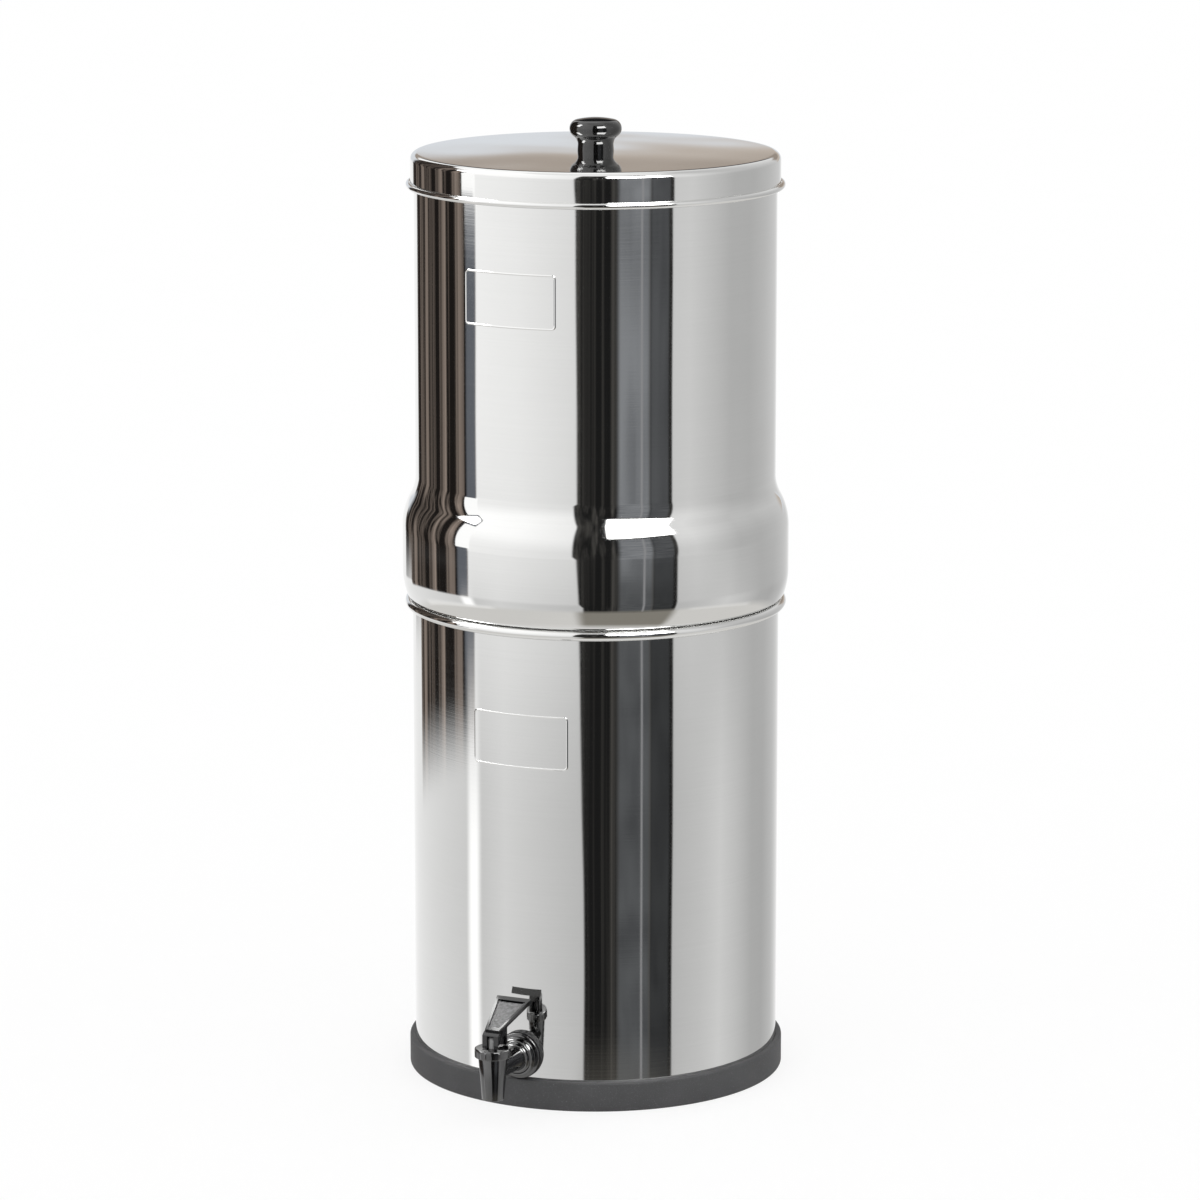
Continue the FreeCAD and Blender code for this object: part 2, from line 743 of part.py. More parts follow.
def build_hole_plugs():
    """Plugs with their hex nuts in the holes that carry no element."""
    plugs, nuts = [], []
    for hole in PLUG_HOLES:
        angle = hole * 360 / HOLE_COUNT
        across = hole_circle * cosine(angle)
        along = hole_circle * sine(angle)
        underside = upper_floor - s.sheet
        head = cylinder(
            f"plug_head_{hole}", s.plug_head_radius, s.plug_head_height, across, along, upper_floor
        )
        stem = cylinder(
            f"plug_stem_{hole}",
            s.plug_stem_radius,
            s.plug_stem_length,
            across,
            along,
            upper_floor - s.plug_stem_length,
        )
        plug = doc.addObject("Part::Fuse", f"plug_{hole}")
        plug.Base, plug.Tool = head, stem
        plugs.append(plug)

        prism = doc.addObject("Part::Prism", f"plug_prism_{hole}")
        prism.Polygon = 6
        bind(prism, "Circumradius", s.plug_nut_flats / (2 * cosine(30)))
        bind(prism, "Height", s.plug_nut_height)
        nut_level = underside - s.plug_nut_height
        place(prism, across, along, nut_level)
        bore = cylinder(
            f"plug_bore_{hole}",
            s.plug_stem_radius + s.thread_gap,
            s.plug_nut_height,
            across,
            along,
            nut_level,
        )
        nut = doc.addObject("Part::Cut", f"plug_nut_{hole}")
        nut.Base, nut.Tool = prism, bore
        nuts.append(nut)
    grouped("hole_plugs", plugs)
    grouped("plug_nuts", nuts)


def build_tap_body():
    """Moulded valve body: spout, barrel, stepped flange and hollow threaded shank.

    Its own origin lies on the spout's axis at floor height. The shank's axis is level, at the tap hole.
    """
    body = new_body("tap_body", y=spout_axis)
    neck_top = s.spout_top_height + s.spout_neck_height
    spout = [
        (0, s.spout_tip_height),
        (s.spout_tip_radius, s.spout_tip_height),
        (s.spout_top_radius, s.spout_top_height),
        (s.spout_neck_radius, s.spout_top_height),
        (s.spout_neck_radius, neck_top),
        (0, neck_top),
    ]
    turned(body, "spout", spout)
    flange_front = flange_back - s.flange_thickness
    step_front = flange_front - s.flange_step_thickness
    boss_front = step_front - s.flange_boss_thickness
    shank_end = s.spout_reach + s.sheet + s.shank_inside
    barrel = [
        (0, 0),
        (shank_end, 0),
        (shank_end, s.shank_radius),
        (flange_back, s.shank_radius),
        (flange_back, s.flange_radius),
        (flange_front, s.flange_radius),
        (flange_front, s.flange_step_radius),
        (step_front, s.flange_step_radius),
        (boss_front, s.flange_boss_radius),
        (boss_front, s.barrel_root_radius),
        (s.spout_top_radius, s.barrel_radius),
        (0, s.barrel_radius),
    ]
    turned_level(body, "barrel", s.tap_axis_height, barrel)
    chamber = [
        (0, s.valve_seat_height),
        (s.valve_chamber_radius, s.valve_seat_height),
        (s.valve_chamber_radius, neck_top),
        (0, neck_top),
    ]
    turned(body, "chamber", chamber, cut=True)
    outlet = box_corners(0, s.spout_tip_height, s.spout_bore, s.valve_seat_height)
    turned(body, "outlet", outlet, cut=True)
    waterway = box_corners(0, 0, shank_end, s.waterway_radius)
    turned_level(body, "waterway", s.tap_axis_height, waterway, cut=True)


def level_bar(name, radius, near, length):
    """Bar along Y on the tap's axis, from near towards the chamber's middle."""
    towards_middle = Rotation(Vector(1, 0, 0), -90)
    return cylinder(name, radius, length, y=near, z=s.tap_axis_height, rotation=towards_middle)


def drum_bar(name, radius):
    """Upright bar of the drum's radius, tall enough to trim a washer."""
    return cylinder(name, radius, 2 * s.tap_axis_height)


def build_tap_washers():
    """Rubber washers: flat towards the tap or the nut, and hollowed or rounded to the drum's wall."""
    outer_face = -s.drum_radius - s.outer_washer_thickness
    disc = level_bar("outer_disc", s.outer_washer_radius, outer_face, 2 * s.outer_washer_thickness)
    trimmed = doc.addObject("Part::Cut", "outer_trimmed")
    trimmed.Base = disc
    trimmed.Tool = drum_bar("outer_wall", s.drum_radius + s.washer_press_gap)
    outer = doc.addObject("Part::Cut", "tap_outer_washer")
    outer.Base = trimmed
    bore = s.shank_radius + s.thread_gap
    outer.Tool = level_bar("outer_bore", bore, outer_face, 2 * s.outer_washer_thickness)

    outside = -drum_inside - s.inner_washer_thickness
    disc = level_bar("inner_disc", s.inner_washer_radius, outside, 2 * s.inner_washer_thickness)
    trimmed = doc.addObject("Part::Common", "inner_trimmed")
    trimmed.Base = disc
    trimmed.Tool = drum_bar("inner_wall", drum_inside - s.washer_press_gap)
    inner = doc.addObject("Part::Cut", "tap_inner_washer")
    inner.Base = trimmed
    inner.Tool = level_bar("inner_bore", bore, outside, 2 * s.inner_washer_thickness)
    for washer in (outer, inner):
        washer.Label = washer.Name
        pieces.append(washer)


def build_tap_nut():
    """Hex nut on the shank inside the drum."""
    near = s.inner_washer_thickness - drum_inside
    body = new_body("tap_nut", y=near + s.tap_nut_thickness, z=s.tap_axis_height)
    sketch = new_sketch(body, "hexagon", "XZ_Plane")
    draw_outline(sketch, hexagon_corners(s.tap_nut_flats))
    draw_circle(sketch, 0, 0, s.shank_radius + s.thread_gap)
    extruded(body, "hexagon", sketch, s.tap_nut_thickness)


def build_tap_bonnet():
    """Screwed collar that closes the valve chamber, with grip ribs round its skirt."""
    body = new_body("tap_bonnet", y=spout_axis)
    roof = s.bonnet_top_height - s.bonnet_roof
    stem_hole = s.valve_stem_radius + s.valve_stem_gap
    thread = s.spout_neck_radius + s.thread_gap
    corners = [
        (thread, s.spout_top_height),
        (s.bonnet_radius - s.bonnet_bevel, s.spout_top_height),
        (s.bonnet_radius, s.spout_top_height + s.bonnet_bevel),
        (s.bonnet_radius, s.bonnet_top_height - s.bonnet_bevel),
        (s.bonnet_radius - s.bonnet_bevel, s.bonnet_top_height),
        (stem_hole, s.bonnet_top_height),
        (stem_hole, roof),
        (thread, roof),
    ]
    turned(body, "cap", corners)
    sketch = new_sketch(body, "rib", "XY_Plane", shift=(0, 0, s.spout_top_height + s.bonnet_bevel))
    half = s.bonnet_rib_width / 2
    root_radius = s.bonnet_radius - s.bonnet_rib_proud
    tip = s.bonnet_radius + s.bonnet_rib_proud
    draw_outline(sketch, box_corners(root_radius, -half, tip, half))
    height = s.bonnet_top_height - s.spout_top_height - 3 * s.bonnet_bevel
    rib = extruded(body, "rib", sketch, height)
    doc.recompute()
    ribs = body.newObject("PartDesign::PolarPattern", "tap_bonnet_ribs")
    ribs.Originals = [rib]
    ribs.Axis = (sketch, ["N_Axis"])
    ribs.Angle = 360
    bind(ribs, "Occurrences", s.bonnet_rib_count)
    body.Tip = ribs


def build_valve():
    """Stem, seat cup, closing spring and the pin that carries the lever."""
    cup_bottom = s.valve_seat_height + s.cup_seat_gap
    cup = new_body("seat_cup", y=spout_axis, z=cup_bottom)
    pocket = s.valve_stem_radius + s.washer_press_gap
    nose_tip = s.cup_nose_radius - s.cup_nose_drop / 2
    corners = [
        (0, -s.cup_nose_drop),
        (nose_tip, -s.cup_nose_drop),
        (s.cup_nose_radius, 0),
        (s.cup_radius, 0),
        (s.cup_radius, s.cup_height),
        (pocket, s.cup_height),
        (pocket, s.cup_floor),
        (0, s.cup_floor),
    ]
    turned(cup, "section", corners)

    stem_foot = cup_bottom + s.cup_floor
    flange_level = cup_bottom + s.cup_height
    flange_top = flange_level + s.stem_flange_thickness
    stem_top = pin_level + s.stem_top_above_pin
    bevel = s.valve_stem_radius / 3
    stem = new_body("valve_stem", y=spout_axis)
    corners = [
        (0, stem_foot),
        (s.valve_stem_radius, stem_foot),
        (s.valve_stem_radius, flange_level),
        (s.stem_flange_radius, flange_level),
        (s.stem_flange_radius, flange_top),
        (s.valve_stem_radius, flange_top),
        (s.valve_stem_radius, stem_top - bevel),
        (s.valve_stem_radius - bevel, stem_top),
        (0, stem_top),
    ]
    turned(stem, "rod", corners)
    for side, name in ((1, "right_flat"), (-1, "left_flat")):
        flat = new_sketch(stem, name, "XZ_Plane")
        near = side * s.stem_tongue_width / 2
        far = side * s.stem_flange_radius
        shoulder = s.bonnet_top_height - s.stem_travel
        draw_outline(flat, box_corners(near, shoulder, far, stem_top + bevel))
        extruded(stem, name, flat, 3 * s.valve_stem_radius, cut=True, symmetric=True)
    eye = new_sketch(stem, "eye", "YZ_Plane")
    draw_circle(eye, 0, pin_level, s.pin_radius + s.pin_gap)
    extruded(stem, "eye", eye, 2 * s.stem_tongue_width, cut=True, symmetric=True)

    pin = new_body("handle_pin", y=spout_axis, z=pin_level)
    section = new_sketch(pin, "section", "YZ_Plane")
    draw_circle(section, 0, 0, s.pin_radius)
    extruded(pin, "section", section, s.lever_width - 2 * s.lever_arch_depth, symmetric=True)

    build_spring(flange_top, s.bonnet_top_height - s.bonnet_roof)


def build_spring(low, high):
    """Closing spring: square wire along a helix between the stem's flange and the bonnet's roof."""
    coil = doc.addObject("Part::Helix", "spring_line")
    bind(coil, "Radius", s.spring_radius)
    height = high - low - s.spring_wire - 2 * s.washer_press_gap
    bind(coil, "Pitch", height / s.spring_turns)
    bind(coil, "Height", height)
    wire = doc.addObject("Part::RegularPolygon", "spring_section")
    wire.Polygon = 4
    bind(wire, "Circumradius", s.spring_wire / 2)
    wire.Placement = Placement(Vector(), Rotation(Vector(1, 0, 0), 90))
    bind(wire, "Placement.Base.x", s.spring_radius)
    spring = doc.addObject("Part::Sweep", "valve_spring")
    spring.Sections = [wire]
    spring.Spine = (coil, ["Edge1"])
    spring.Solid = True
    spring.Frenet = True
    spring.Label = spring.Name
    place(spring, 0, spout_axis, low + s.spring_wire / 2 + s.washer_press_gap)
    pieces.append(spring)


def build_tap_handle():
    """Lever: forked foot that rocks on the bonnet, and a paddle that leans back towards the drum."""
    body = new_body("tap_handle", y=spout_axis)
    heel = s.lever_heel_radius
    start_up = s.paddle_start_height
    half_sheet = s.paddle_thickness / 2
    slope = sine(s.paddle_tilt) / cosine(s.paddle_tilt)
    sink = half_sheet / cosine(s.paddle_tilt)
    back_top = start_up + (s.lever_back + s.paddle_start) * slope - sink
    foot = new_sketch(body, "foot", "YZ_Plane")
    corners = [
        (-s.lever_front, lever_foot),
        (s.lever_back - heel, lever_foot),
        (s.lever_back, lever_foot + heel, heel, 1),
        (s.lever_back, back_top),
        (-s.paddle_start, start_up - sink),
        (-s.lever_front, lever_foot + s.lever_front_height),
    ]
    draw_outline(foot, corners)
    extruded(body, "foot", foot, s.lever_width, symmetric=True)

    narrow = s.paddle_narrow / 2
    wide = s.paddle_wide / 2
    length = s.paddle_length
    plate_corners = [(-narrow, 0), (narrow, 0), (wide, length), (-wide, length)]
    paddle_frame = {"shift": (0, -s.paddle_start, start_up), "tilt": s.paddle_tilt}
    plate = new_sketch(body, "plate", "XY_Plane", **paddle_frame)
    draw_outline(plate, plate_corners)
    extruded(body, "plate", plate, s.paddle_thickness, backwards=True)

    lip = new_sketch(body, "lip", "XY_Plane", **paddle_frame)
    draw_outline(lip, box_corners(-wide, length - s.paddle_lip_length, wide, length))
    extruded(body, "lip", lip, s.paddle_lip, backwards=True)

    taper = (wide - narrow) / length
    first = 2 * s.paddle_rim
    last = length - s.paddle_lip_length - s.paddle_rim
    recess_corners = [
        (s.paddle_rim - narrow - taper * first, first),
        (narrow + taper * first - s.paddle_rim, first),
        (narrow + taper * last - s.paddle_rim, last),
        (s.paddle_rim - narrow - taper * last, last),
    ]
    recess = new_sketch(body, "recess", "XY_Plane", **paddle_frame)
    draw_outline(recess, recess_corners)
    extruded(body, "recess", recess, s.paddle_recess, cut=True)

    groove = new_sketch(body, "groove", "XY_Plane", **paddle_frame)
    reach = narrow + taper * last - 2 * s.paddle_rim
    draw_outline(groove, box_corners(-reach, last - s.paddle_groove_width, reach, last))
    extruded(body, "groove", groove, s.paddle_recess + s.paddle_groove_depth, cut=True)

    slot = new_sketch(body, "slot", "YZ_Plane")
    roof = pin_level + s.stem_top_above_pin + s.lever_roof_gap
    beyond = 2 * s.lever_back
    draw_outline(slot, box_corners(-beyond, s.spout_top_height, beyond, roof))
    width = s.stem_tongue_width + 2 * s.lever_slot_gap
    extruded(body, "slot", slot, width, cut=True, symmetric=True)

    arch_low = -s.lever_front + s.lever_arch_margin
    arch_high = s.lever_back - s.lever_arch_margin
    arch_radius = (arch_high - arch_low) * 0.3
    arch_top = lever_foot + s.lever_arch_height
    arch_corners = [
        (arch_low, s.spout_top_height),
        (arch_high, s.spout_top_height),
        (arch_high, arch_top - arch_radius),
        (arch_high - arch_radius, arch_top, arch_radius, 1),
        (arch_low + arch_radius, arch_top),
        (arch_low, arch_top - arch_radius, arch_radius, 1),
    ]
    for side, name in ((1, "right_arch"), (-1, "left_arch")):
        face = side * (s.lever_width / 2 - s.lever_arch_depth)
        arch = new_sketch(body, name, "YZ_Plane", shift=(0, 0, face))
        draw_outline(arch, arch_corners)
        extruded(body, name, arch, s.lever_width, cut=True, backwards=side > 0)

    bore = new_sketch(body, "pin_bore", "YZ_Plane")
    draw_circle(bore, 0, pin_level, s.pin_radius + s.pin_gap)
    extruded(body, "pin_bore", bore, 2 * s.lever_width, cut=True, symmetric=True)


def write_pieces():
    """Recompute, test every object and every sub-part, and write one file for each sub-part."""
    doc.recompute()
    broken = [obj.Name for obj in doc.Objects if {"Invalid", "Error"} & set(obj.State)]
    if broken:
        raise RuntimeError(f"objects that did not build: {broken}")
    for piece in pieces:
        if piece.Shape.isNull() or not piece.Shape.isValid():
            raise RuntimeError(f"{piece.Label} has no valid shape")
    os.makedirs("parts", exist_ok=True)
    for piece in pieces:
        piece.Shape.exportStep(os.path.join("parts", f"{piece.Label}.step"))
        box = piece.Shape.BoundBox
        print(
            f"{piece.Label}: {len(piece.Shape.Solids)} solid, {piece.Shape.Volume:.1f} mm3,"
            f" z {box.ZMin:.2f} to {box.ZMax:.2f}"
        )


build_base_ring()
build_lower_chamber()
build_upper_chamber()
build_lid()
build_lid_knob()
build_knob_fixing()
element_seals, wing_nuts = [], []
for element_number, element_hole in enumerate(ELEMENT_HOLES, start=1):
    build_element(element_number, element_hole, element_seals, wing_nuts)
grouped("filter_washers", element_seals)
grouped("wing_nuts", wing_nuts)
build_hole_plugs()
build_tap_body()
build_tap_washers()
build_tap_nut()
build_tap_bonnet()
build_valve()
build_tap_handle()
write_pieces()
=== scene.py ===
import math

import bmesh
import bpy
from mathutils import Matrix, Vector


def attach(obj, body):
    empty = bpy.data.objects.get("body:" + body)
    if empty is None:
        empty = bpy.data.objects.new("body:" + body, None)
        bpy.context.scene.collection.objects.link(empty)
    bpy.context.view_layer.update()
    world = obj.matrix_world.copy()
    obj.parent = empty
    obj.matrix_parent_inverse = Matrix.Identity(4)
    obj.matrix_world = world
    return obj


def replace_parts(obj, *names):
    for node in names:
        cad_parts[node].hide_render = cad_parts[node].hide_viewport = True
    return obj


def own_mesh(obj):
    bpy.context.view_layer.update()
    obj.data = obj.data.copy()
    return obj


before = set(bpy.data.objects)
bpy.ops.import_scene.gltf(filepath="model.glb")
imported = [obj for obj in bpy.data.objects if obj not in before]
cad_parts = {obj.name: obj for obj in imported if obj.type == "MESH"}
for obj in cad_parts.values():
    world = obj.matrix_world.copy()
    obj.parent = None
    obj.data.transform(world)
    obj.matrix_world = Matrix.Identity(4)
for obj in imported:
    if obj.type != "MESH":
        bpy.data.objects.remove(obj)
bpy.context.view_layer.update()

MM = 0.001
ON_AXIS = 1e-6
MERGE = 1e-4

# Shared sizes, in millimetres
SHEET = 0.8
RING_RADIUS = 131.0
RING_HEIGHT = 20.3
RING_FLOOR = 4.0
RING_LEDGE = 19.0
RING_PLAY = 0.1
DRUM_RADIUS = 127.0
DRUM_INSIDE = DRUM_RADIUS - SHEET
DRUM_CORNER = 6.0
DRUM_TOP = 335.2
BEAD_RADIUS = 3.4
BEAD_CENTRE = 128.8
SHOULDER = 335.35
NECK_RADIUS = 124.5
FOOT_RADIUS = 133.8
RIM_TOP = 640.35
HEM_RADIUS = 125.8
HEM_DEPTH = 5.0
HEM_EDGE = 1.0
LID_HEIGHT = 638.45
SKIRT_OUTSIDE = 126.9
SKIRT_INSIDE = 126.1
SKIRT_DROP = 17.0
LID_CORNER = 5.0
LID_RISE = 0.6
LID_HOLE = 2.2
LID_BEAD_RADIUS = 2.1
LID_BEAD_OUT = 1.0
KNOB_FOOT = LID_HEIGHT + LID_CORNER + LID_RISE
SPOUT_Y = -172.1
TAP_HEIGHT = 37.0

# Upper drum's foot: radii of its arcs, the heights between which it is upright, and the spigot below it
HEEL_ARC = 4.0
BELLY_ARC = 50.0
BROW_ARC = 44.0
HOLLOW_ARC = 31.0
BAND_LOW = 19.2
BAND_HIGH = 49.4
SPIGOT_DROP = 16.0
SPIGOT_CORNER = 5.0
SPIGOT_PLAY = 1.2

# Sections of the tap's turned forms, as corners of (radius, height)
# or of (radius, distance behind the spout's axis) for the shank and its thread
SPOUT_SECTION = (
    (5.0, 17.5), (7.0, 17.5), (7.55, 18.1, 0.6, 1), (9.9, 46.6), (9.6, 47.5), (9.2, 47.5),
    (9.2, 50.7), (6.9, 50.7), (6.9, 29.0), (5.0, 29.0),
)
SHANK_SECTION = (
    (4.5, 7.4), (7.2, 7.4), (7.2, 9.0), (7.6, 20.0), (8.5, 33.0), (9.4, 35.4, 4.0, -1),
    (10.6, 36.0), (11.2, 36.6, 0.6, 1), (12.6, 38.0), (13.2, 38.3), (13.6, 38.8, 0.5, 1),
    (13.6, 40.0), (15.2, 40.1), (15.75, 40.7, 0.6, 1), (15.75, 42.0), (15.3, 42.5, 0.5, 1),
    (8.0, 42.5), (8.0, 69.4), (7.5, 69.9), (4.5, 69.9),
)
THREAD_SECTION = ((7.6, 0.0), (8.0, 0.0), (8.08, 0.4), (7.6, 0.9))
THREAD_START = 47.6
THREAD_PITCH = 1.25
THREAD_TURNS = 16
BONNET_SECTION = (
    (9.3, 47.5), (11.7, 47.5), (12.4, 48.2, 0.7, 1), (12.4, 52.9), (11.6, 53.7, 0.8, 1),
    (11.3, 53.75), (10.9, 53.55), (3.1, 53.55), (3.1, 51.4), (9.3, 51.4),
)

# Grip ribs of the bonnet: section as (radius, across), levels as (height, how far the rib is set in)
RIB_COUNT = 8
RIB_ROOT = 12.0
RIB_SECTION = (
    (RIB_ROOT, -0.65), (12.7, -0.65), (12.9, -0.4), (12.9, 0.4), (12.7, 0.65), (RIB_ROOT, 0.65),
)
RIB_LEVELS = ((48.0, 0.35), (48.4, 0.0), (52.3, 0.0), (52.8, 0.35))

# Lever: its paddle leans back from the fork and grows wider, and its field is sunk inside a rim
PADDLE_TILT = math.radians(20.5)
PADDLE_BACK = -1.7
PADDLE_FOOT = 66.4
PADDLE_LENGTH = 38.9
PADDLE_NARROW = 5.1
PADDLE_WIDE = 12.6
PADDLE_TAPER = (PADDLE_WIDE - PADDLE_NARROW) / PADDLE_LENGTH
PADDLE_RIM = 1.7
FIELD_START = 3.4
FIELD_END = 34.8

# Section of the embossed ridge, as (across, rise)
RIDGE_SECTION = ((-0.8, -0.05), (-0.5, 0.10), (-0.2, 0.34), (0.2, 0.34), (0.5, 0.10), (0.8, -0.05))

# Camera: turn and dip in degrees, distances in metres, lens and sensor in millimetres
CAMERA_TURN = 23.8
CAMERA_DIP = 11.54
CAMERA_AWAY = 3.532
CAMERA_HEIGHT = 1.0516
CAMERA_ASIDE = 0.003
CAMERA_LENS = 155.55
CAMERA_SENSOR = 36.0


# Outlines and meshes


def leg(hypotenuse, other):
    """Second leg of a right triangle."""
    return math.sqrt(hypotenuse * hypotenuse - other * other)


def arc_points(start, end, radius, turn, step=4.0, least=2):
    """Points after start up to end along an arc. The sign of turn is its sense, and 2 takes the long way."""
    start, end = Vector(start), Vector(end)
    chord = end - start
    rise = math.sqrt(max(radius * radius - chord.length_squared / 4, 0.0))
    left = Vector((-chord.y, chord.x)).normalized()
    side = (1 if turn > 0 else -1) * (-1 if abs(turn) == 2 else 1)
    centre = (start + end) / 2 + left * rise * side
    begin = math.atan2(start.y - centre.y, start.x - centre.x)
    finish = math.atan2(end.y - centre.y, end.x - centre.x)
    sweep = (finish - begin) % (2 * math.pi)
    if turn < 0:
        sweep -= 2 * math.pi
    count = max(least, math.ceil(abs(math.degrees(sweep)) / step))
    angles = [begin + sweep * k / count for k in range(1, count)]
    return [(centre.x + radius * math.cos(a), centre.y + radius * math.sin(a)) for a in angles] + [tuple(end)]


def outline(corners, step=4.0):
    """Turn corners into points. A plain corner is (across, up).

    A corner (across, up, radius, turn) ends an arc, and a fifth number is the least count of its divisions.
    """
    points = []
    for index, corner in enumerate(corners):
        if len(corner) == 2:
            points.append(tuple(corner))
        else:
            start = corners[index - 1][:2]
            points += arc_points(start, corner[:2], corner[2], corner[3], step, *corner[4:])
    return points


def finish_mesh(name, bm, material, body, sharp=32):
    """Make an object of a mesh in millimetres, shade it smooth up to an angle, and let it ride on a body."""
    bmesh.ops.remove_doubles(bm, verts=bm.verts, dist=MERGE)
    bmesh.ops.recalc_face_normals(bm, faces=bm.faces)
    mesh = bpy.data.meshes.new(name)
    bm.to_mesh(mesh)
    bm.free()
    mesh.transform(Matrix.Scale(MM, 4))
    mesh.polygons.foreach_set("use_smooth", [True] * len(mesh.polygons))
    mesh.set_sharp_from_angle(angle=math.radians(sharp))
    mesh.materials.append(material)
    made = bpy.data.objects.new(name, mesh)
    bpy.context.scene.collection.objects.link(made)
    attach(made, body)
    return made


def spin(bm, points, steps, matrix):
    """Revolve a closed outline of (radius, height) points about Z into quads, then move it by a matrix."""
    rings = []
    for radius, height in points:
        if radius < ON_AXIS:
            rings.append([bm.verts.new((0, 0, height))] * steps)
        else:
            angles = [2 * math.pi * k / steps for k in range(steps)]
            rings.append([bm.verts.new((radius * math.cos(a), radius * math.sin(a), height)) for a in angles])
    made = set()
    for low, high in zip(rings, rings[1:] + rings[:1]):
        for k in range(steps):
            n = (k + 1) % steps
            corners = []
            for vert in (low[k], low[n], high[n], high[k]):
                if vert not in corners:
                    corners.append(vert)
            if len(corners) > 2:
                made.update(bm.faces.new(corners).verts)
    bmesh.ops.transform(bm, matrix=matrix, verts=list(made))


def lathe(name, corners, material, body, height=0.0, steps=288, step=4.0):
    """Turned piece from an outline of (radius, height) corners, standing for a solid of the same name."""
    bm = bmesh.new()
    spin(bm, outline(corners, step), steps, Matrix.Translation((0, 0, height)))
    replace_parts(finish_mesh(f"{name}_shape", bm, material, body), name)


# Material nodes


class Net:
    """Writes shader nodes in short form."""

    def __init__(self, tree):
        self.tree = tree
        tree.nodes.clear()

    def add(self, kind, sockets=None, **settings):
        """Add a node, set its settings, and fill its sockets with values or links."""
        made = self.tree.nodes.new("ShaderNode" + kind)
        for key, value in settings.items():
            setattr(made, key, value)
        for key, value in (sockets or {}).items():
            if isinstance(value, bpy.types.NodeSocket):
                self.tree.links.new(value, made.inputs[key])
            else:
                made.inputs[key].default_value = value
        return made

    def math(self, operation, a, b=0.0):
        """Result of a math node."""
        return self.add("Math", {0: a, 1: b}, operation=operation).outputs[0]

    def mix(self, factor, a, b):
        """Colour mix of a and b."""
        made = self.add("Mix", {0: factor, 6: a, 7: b}, data_type="RGBA")
        return made.outputs[2]

    def span(self, value, low, high, to_low=0.0, to_high=1.0, smooth=False):
        """Map a value from one range to another, clamped."""
        kind = "SMOOTHSTEP" if smooth else "LINEAR"
        sockets = {0: value, 1: low, 2: high, 3: to_low, 4: to_high}
        return self.add("MapRange", sockets, interpolation_type=kind, clamp=True).outputs[0]

    def place(self, scale=(1, 1, 1)):
        """Object coordinates in metres, stretched."""
        spot = self.add("TexCoord").outputs["Object"]
        return self.add("Mapping", {"Vector": spot, "Scale": scale}).outputs[0]

    def noise(self, vector, scale, detail=3.0, roughness=0.5):
        """Noise value."""
        sockets = {"Vector": vector, "Scale": scale, "Detail": detail, "Roughness": roughness}
        return self.add("TexNoise", sockets).outputs[0]

    def bump(self, height, distance, normal=None):
        """Bump normal from a height, laid over another normal where one is given."""
        sockets = {"Strength": 1.0, "Distance": distance, "Height": height}
        if normal is not None:
            sockets["Normal"] = normal
        return self.add("Bump", sockets).outputs[0]

    def surface(self, **sockets):
        """Close the material with a principled shader."""
        named = {key.replace("_", " "): value for key, value in sockets.items()}
        shader = self.add("BsdfPrincipled", named)
        output = self.add("OutputMaterial")
        self.tree.links.new(shader.outputs[0], output.inputs[0])


def new_material(name):
    """Empty node material and its writer."""
    made = bpy.data.materials.new(name)
    made.use_nodes = True
    return made, Net(made.node_tree)


def polished_steel():
    """Mirror steel with fine level lines, faint haze and slight waves of the sheet, duller on its inside."""
    made, net = new_material("polished_steel")
    lower_rim, upward_face, downward_face = 0.325, 0.5, -0.8
    coordinates = net.add("TexCoord")
    spot = net.add("SeparateXYZ", {0: coordinates.outputs["Object"]}).outputs
    facing = net.add("SeparateXYZ", {0: coordinates.outputs["Normal"]}).outputs
    across = net.math("MULTIPLY", spot[0], facing[0])
    forward = net.math("MULTIPLY", spot[1], facing[1])
    inward = net.span(net.math("ADD", across, forward), -0.05, -0.03, 1.0, 0.0)
    low_down = net.math("LESS_THAN", spot[2], lower_rim)
    low_floor = net.math("MULTIPLY", low_down, net.math("GREATER_THAN", facing[2], upward_face))
    underside = net.math("LESS_THAN", facing[2], downward_face)
    inside = net.math("MAXIMUM", inward, net.math("MAXIMUM", low_floor, underside))
    lines = net.noise(net.place((5, 5, 1400)), 1.0, 4.0, 0.6)
    haze = net.noise(net.place((14, 14, 30)), 1.0, 4.0, 0.6)
    waves = net.noise(net.place((7, 7, 4)), 1.0, 1.0)
    shade = net.math("MULTIPLY", lines, 0.5)
    shade = net.math("ADD", shade, net.math("MULTIPLY", haze, 0.5))
    colour = net.mix(net.span(shade, 0.35, 0.65), (0.81, 0.81, 0.80, 1), (0.835, 0.835, 0.825, 1))
    colour = net.mix(inside, colour, (0.62, 0.62, 0.61, 1))
    gloss = net.math("ADD", net.span(shade, 0.35, 0.7, 0.03, 0.07), net.math("MULTIPLY", inside, 0.3))
    metal = net.span(inside, 0.0, 1.0, 1.0, 0.6)
    normal = net.bump(waves, 0.0009)
    normal = net.bump(lines, 0.000003, normal=normal)
    net.surface(Base_Color=colour, Metallic=metal, Roughness=gloss, Normal=normal)
    return made


def plain_steel(name, colour, roughness):
    """Small steel pieces with fine scratches."""
    made, net = new_material(name)
    lines = net.noise(net.place((300, 300, 2500)), 1.0, 3.0)
    shade = net.mix(lines, tuple(0.85 * c for c in colour) + (1,), (*colour, 1))
    gloss = net.span(lines, 0.3, 0.7, roughness * 0.8, roughness * 1.3)
    normal = net.bump(lines, 0.00001)
    net.surface(Base_Color=shade, Metallic=1.0, Roughness=gloss, Normal=normal)
    return made


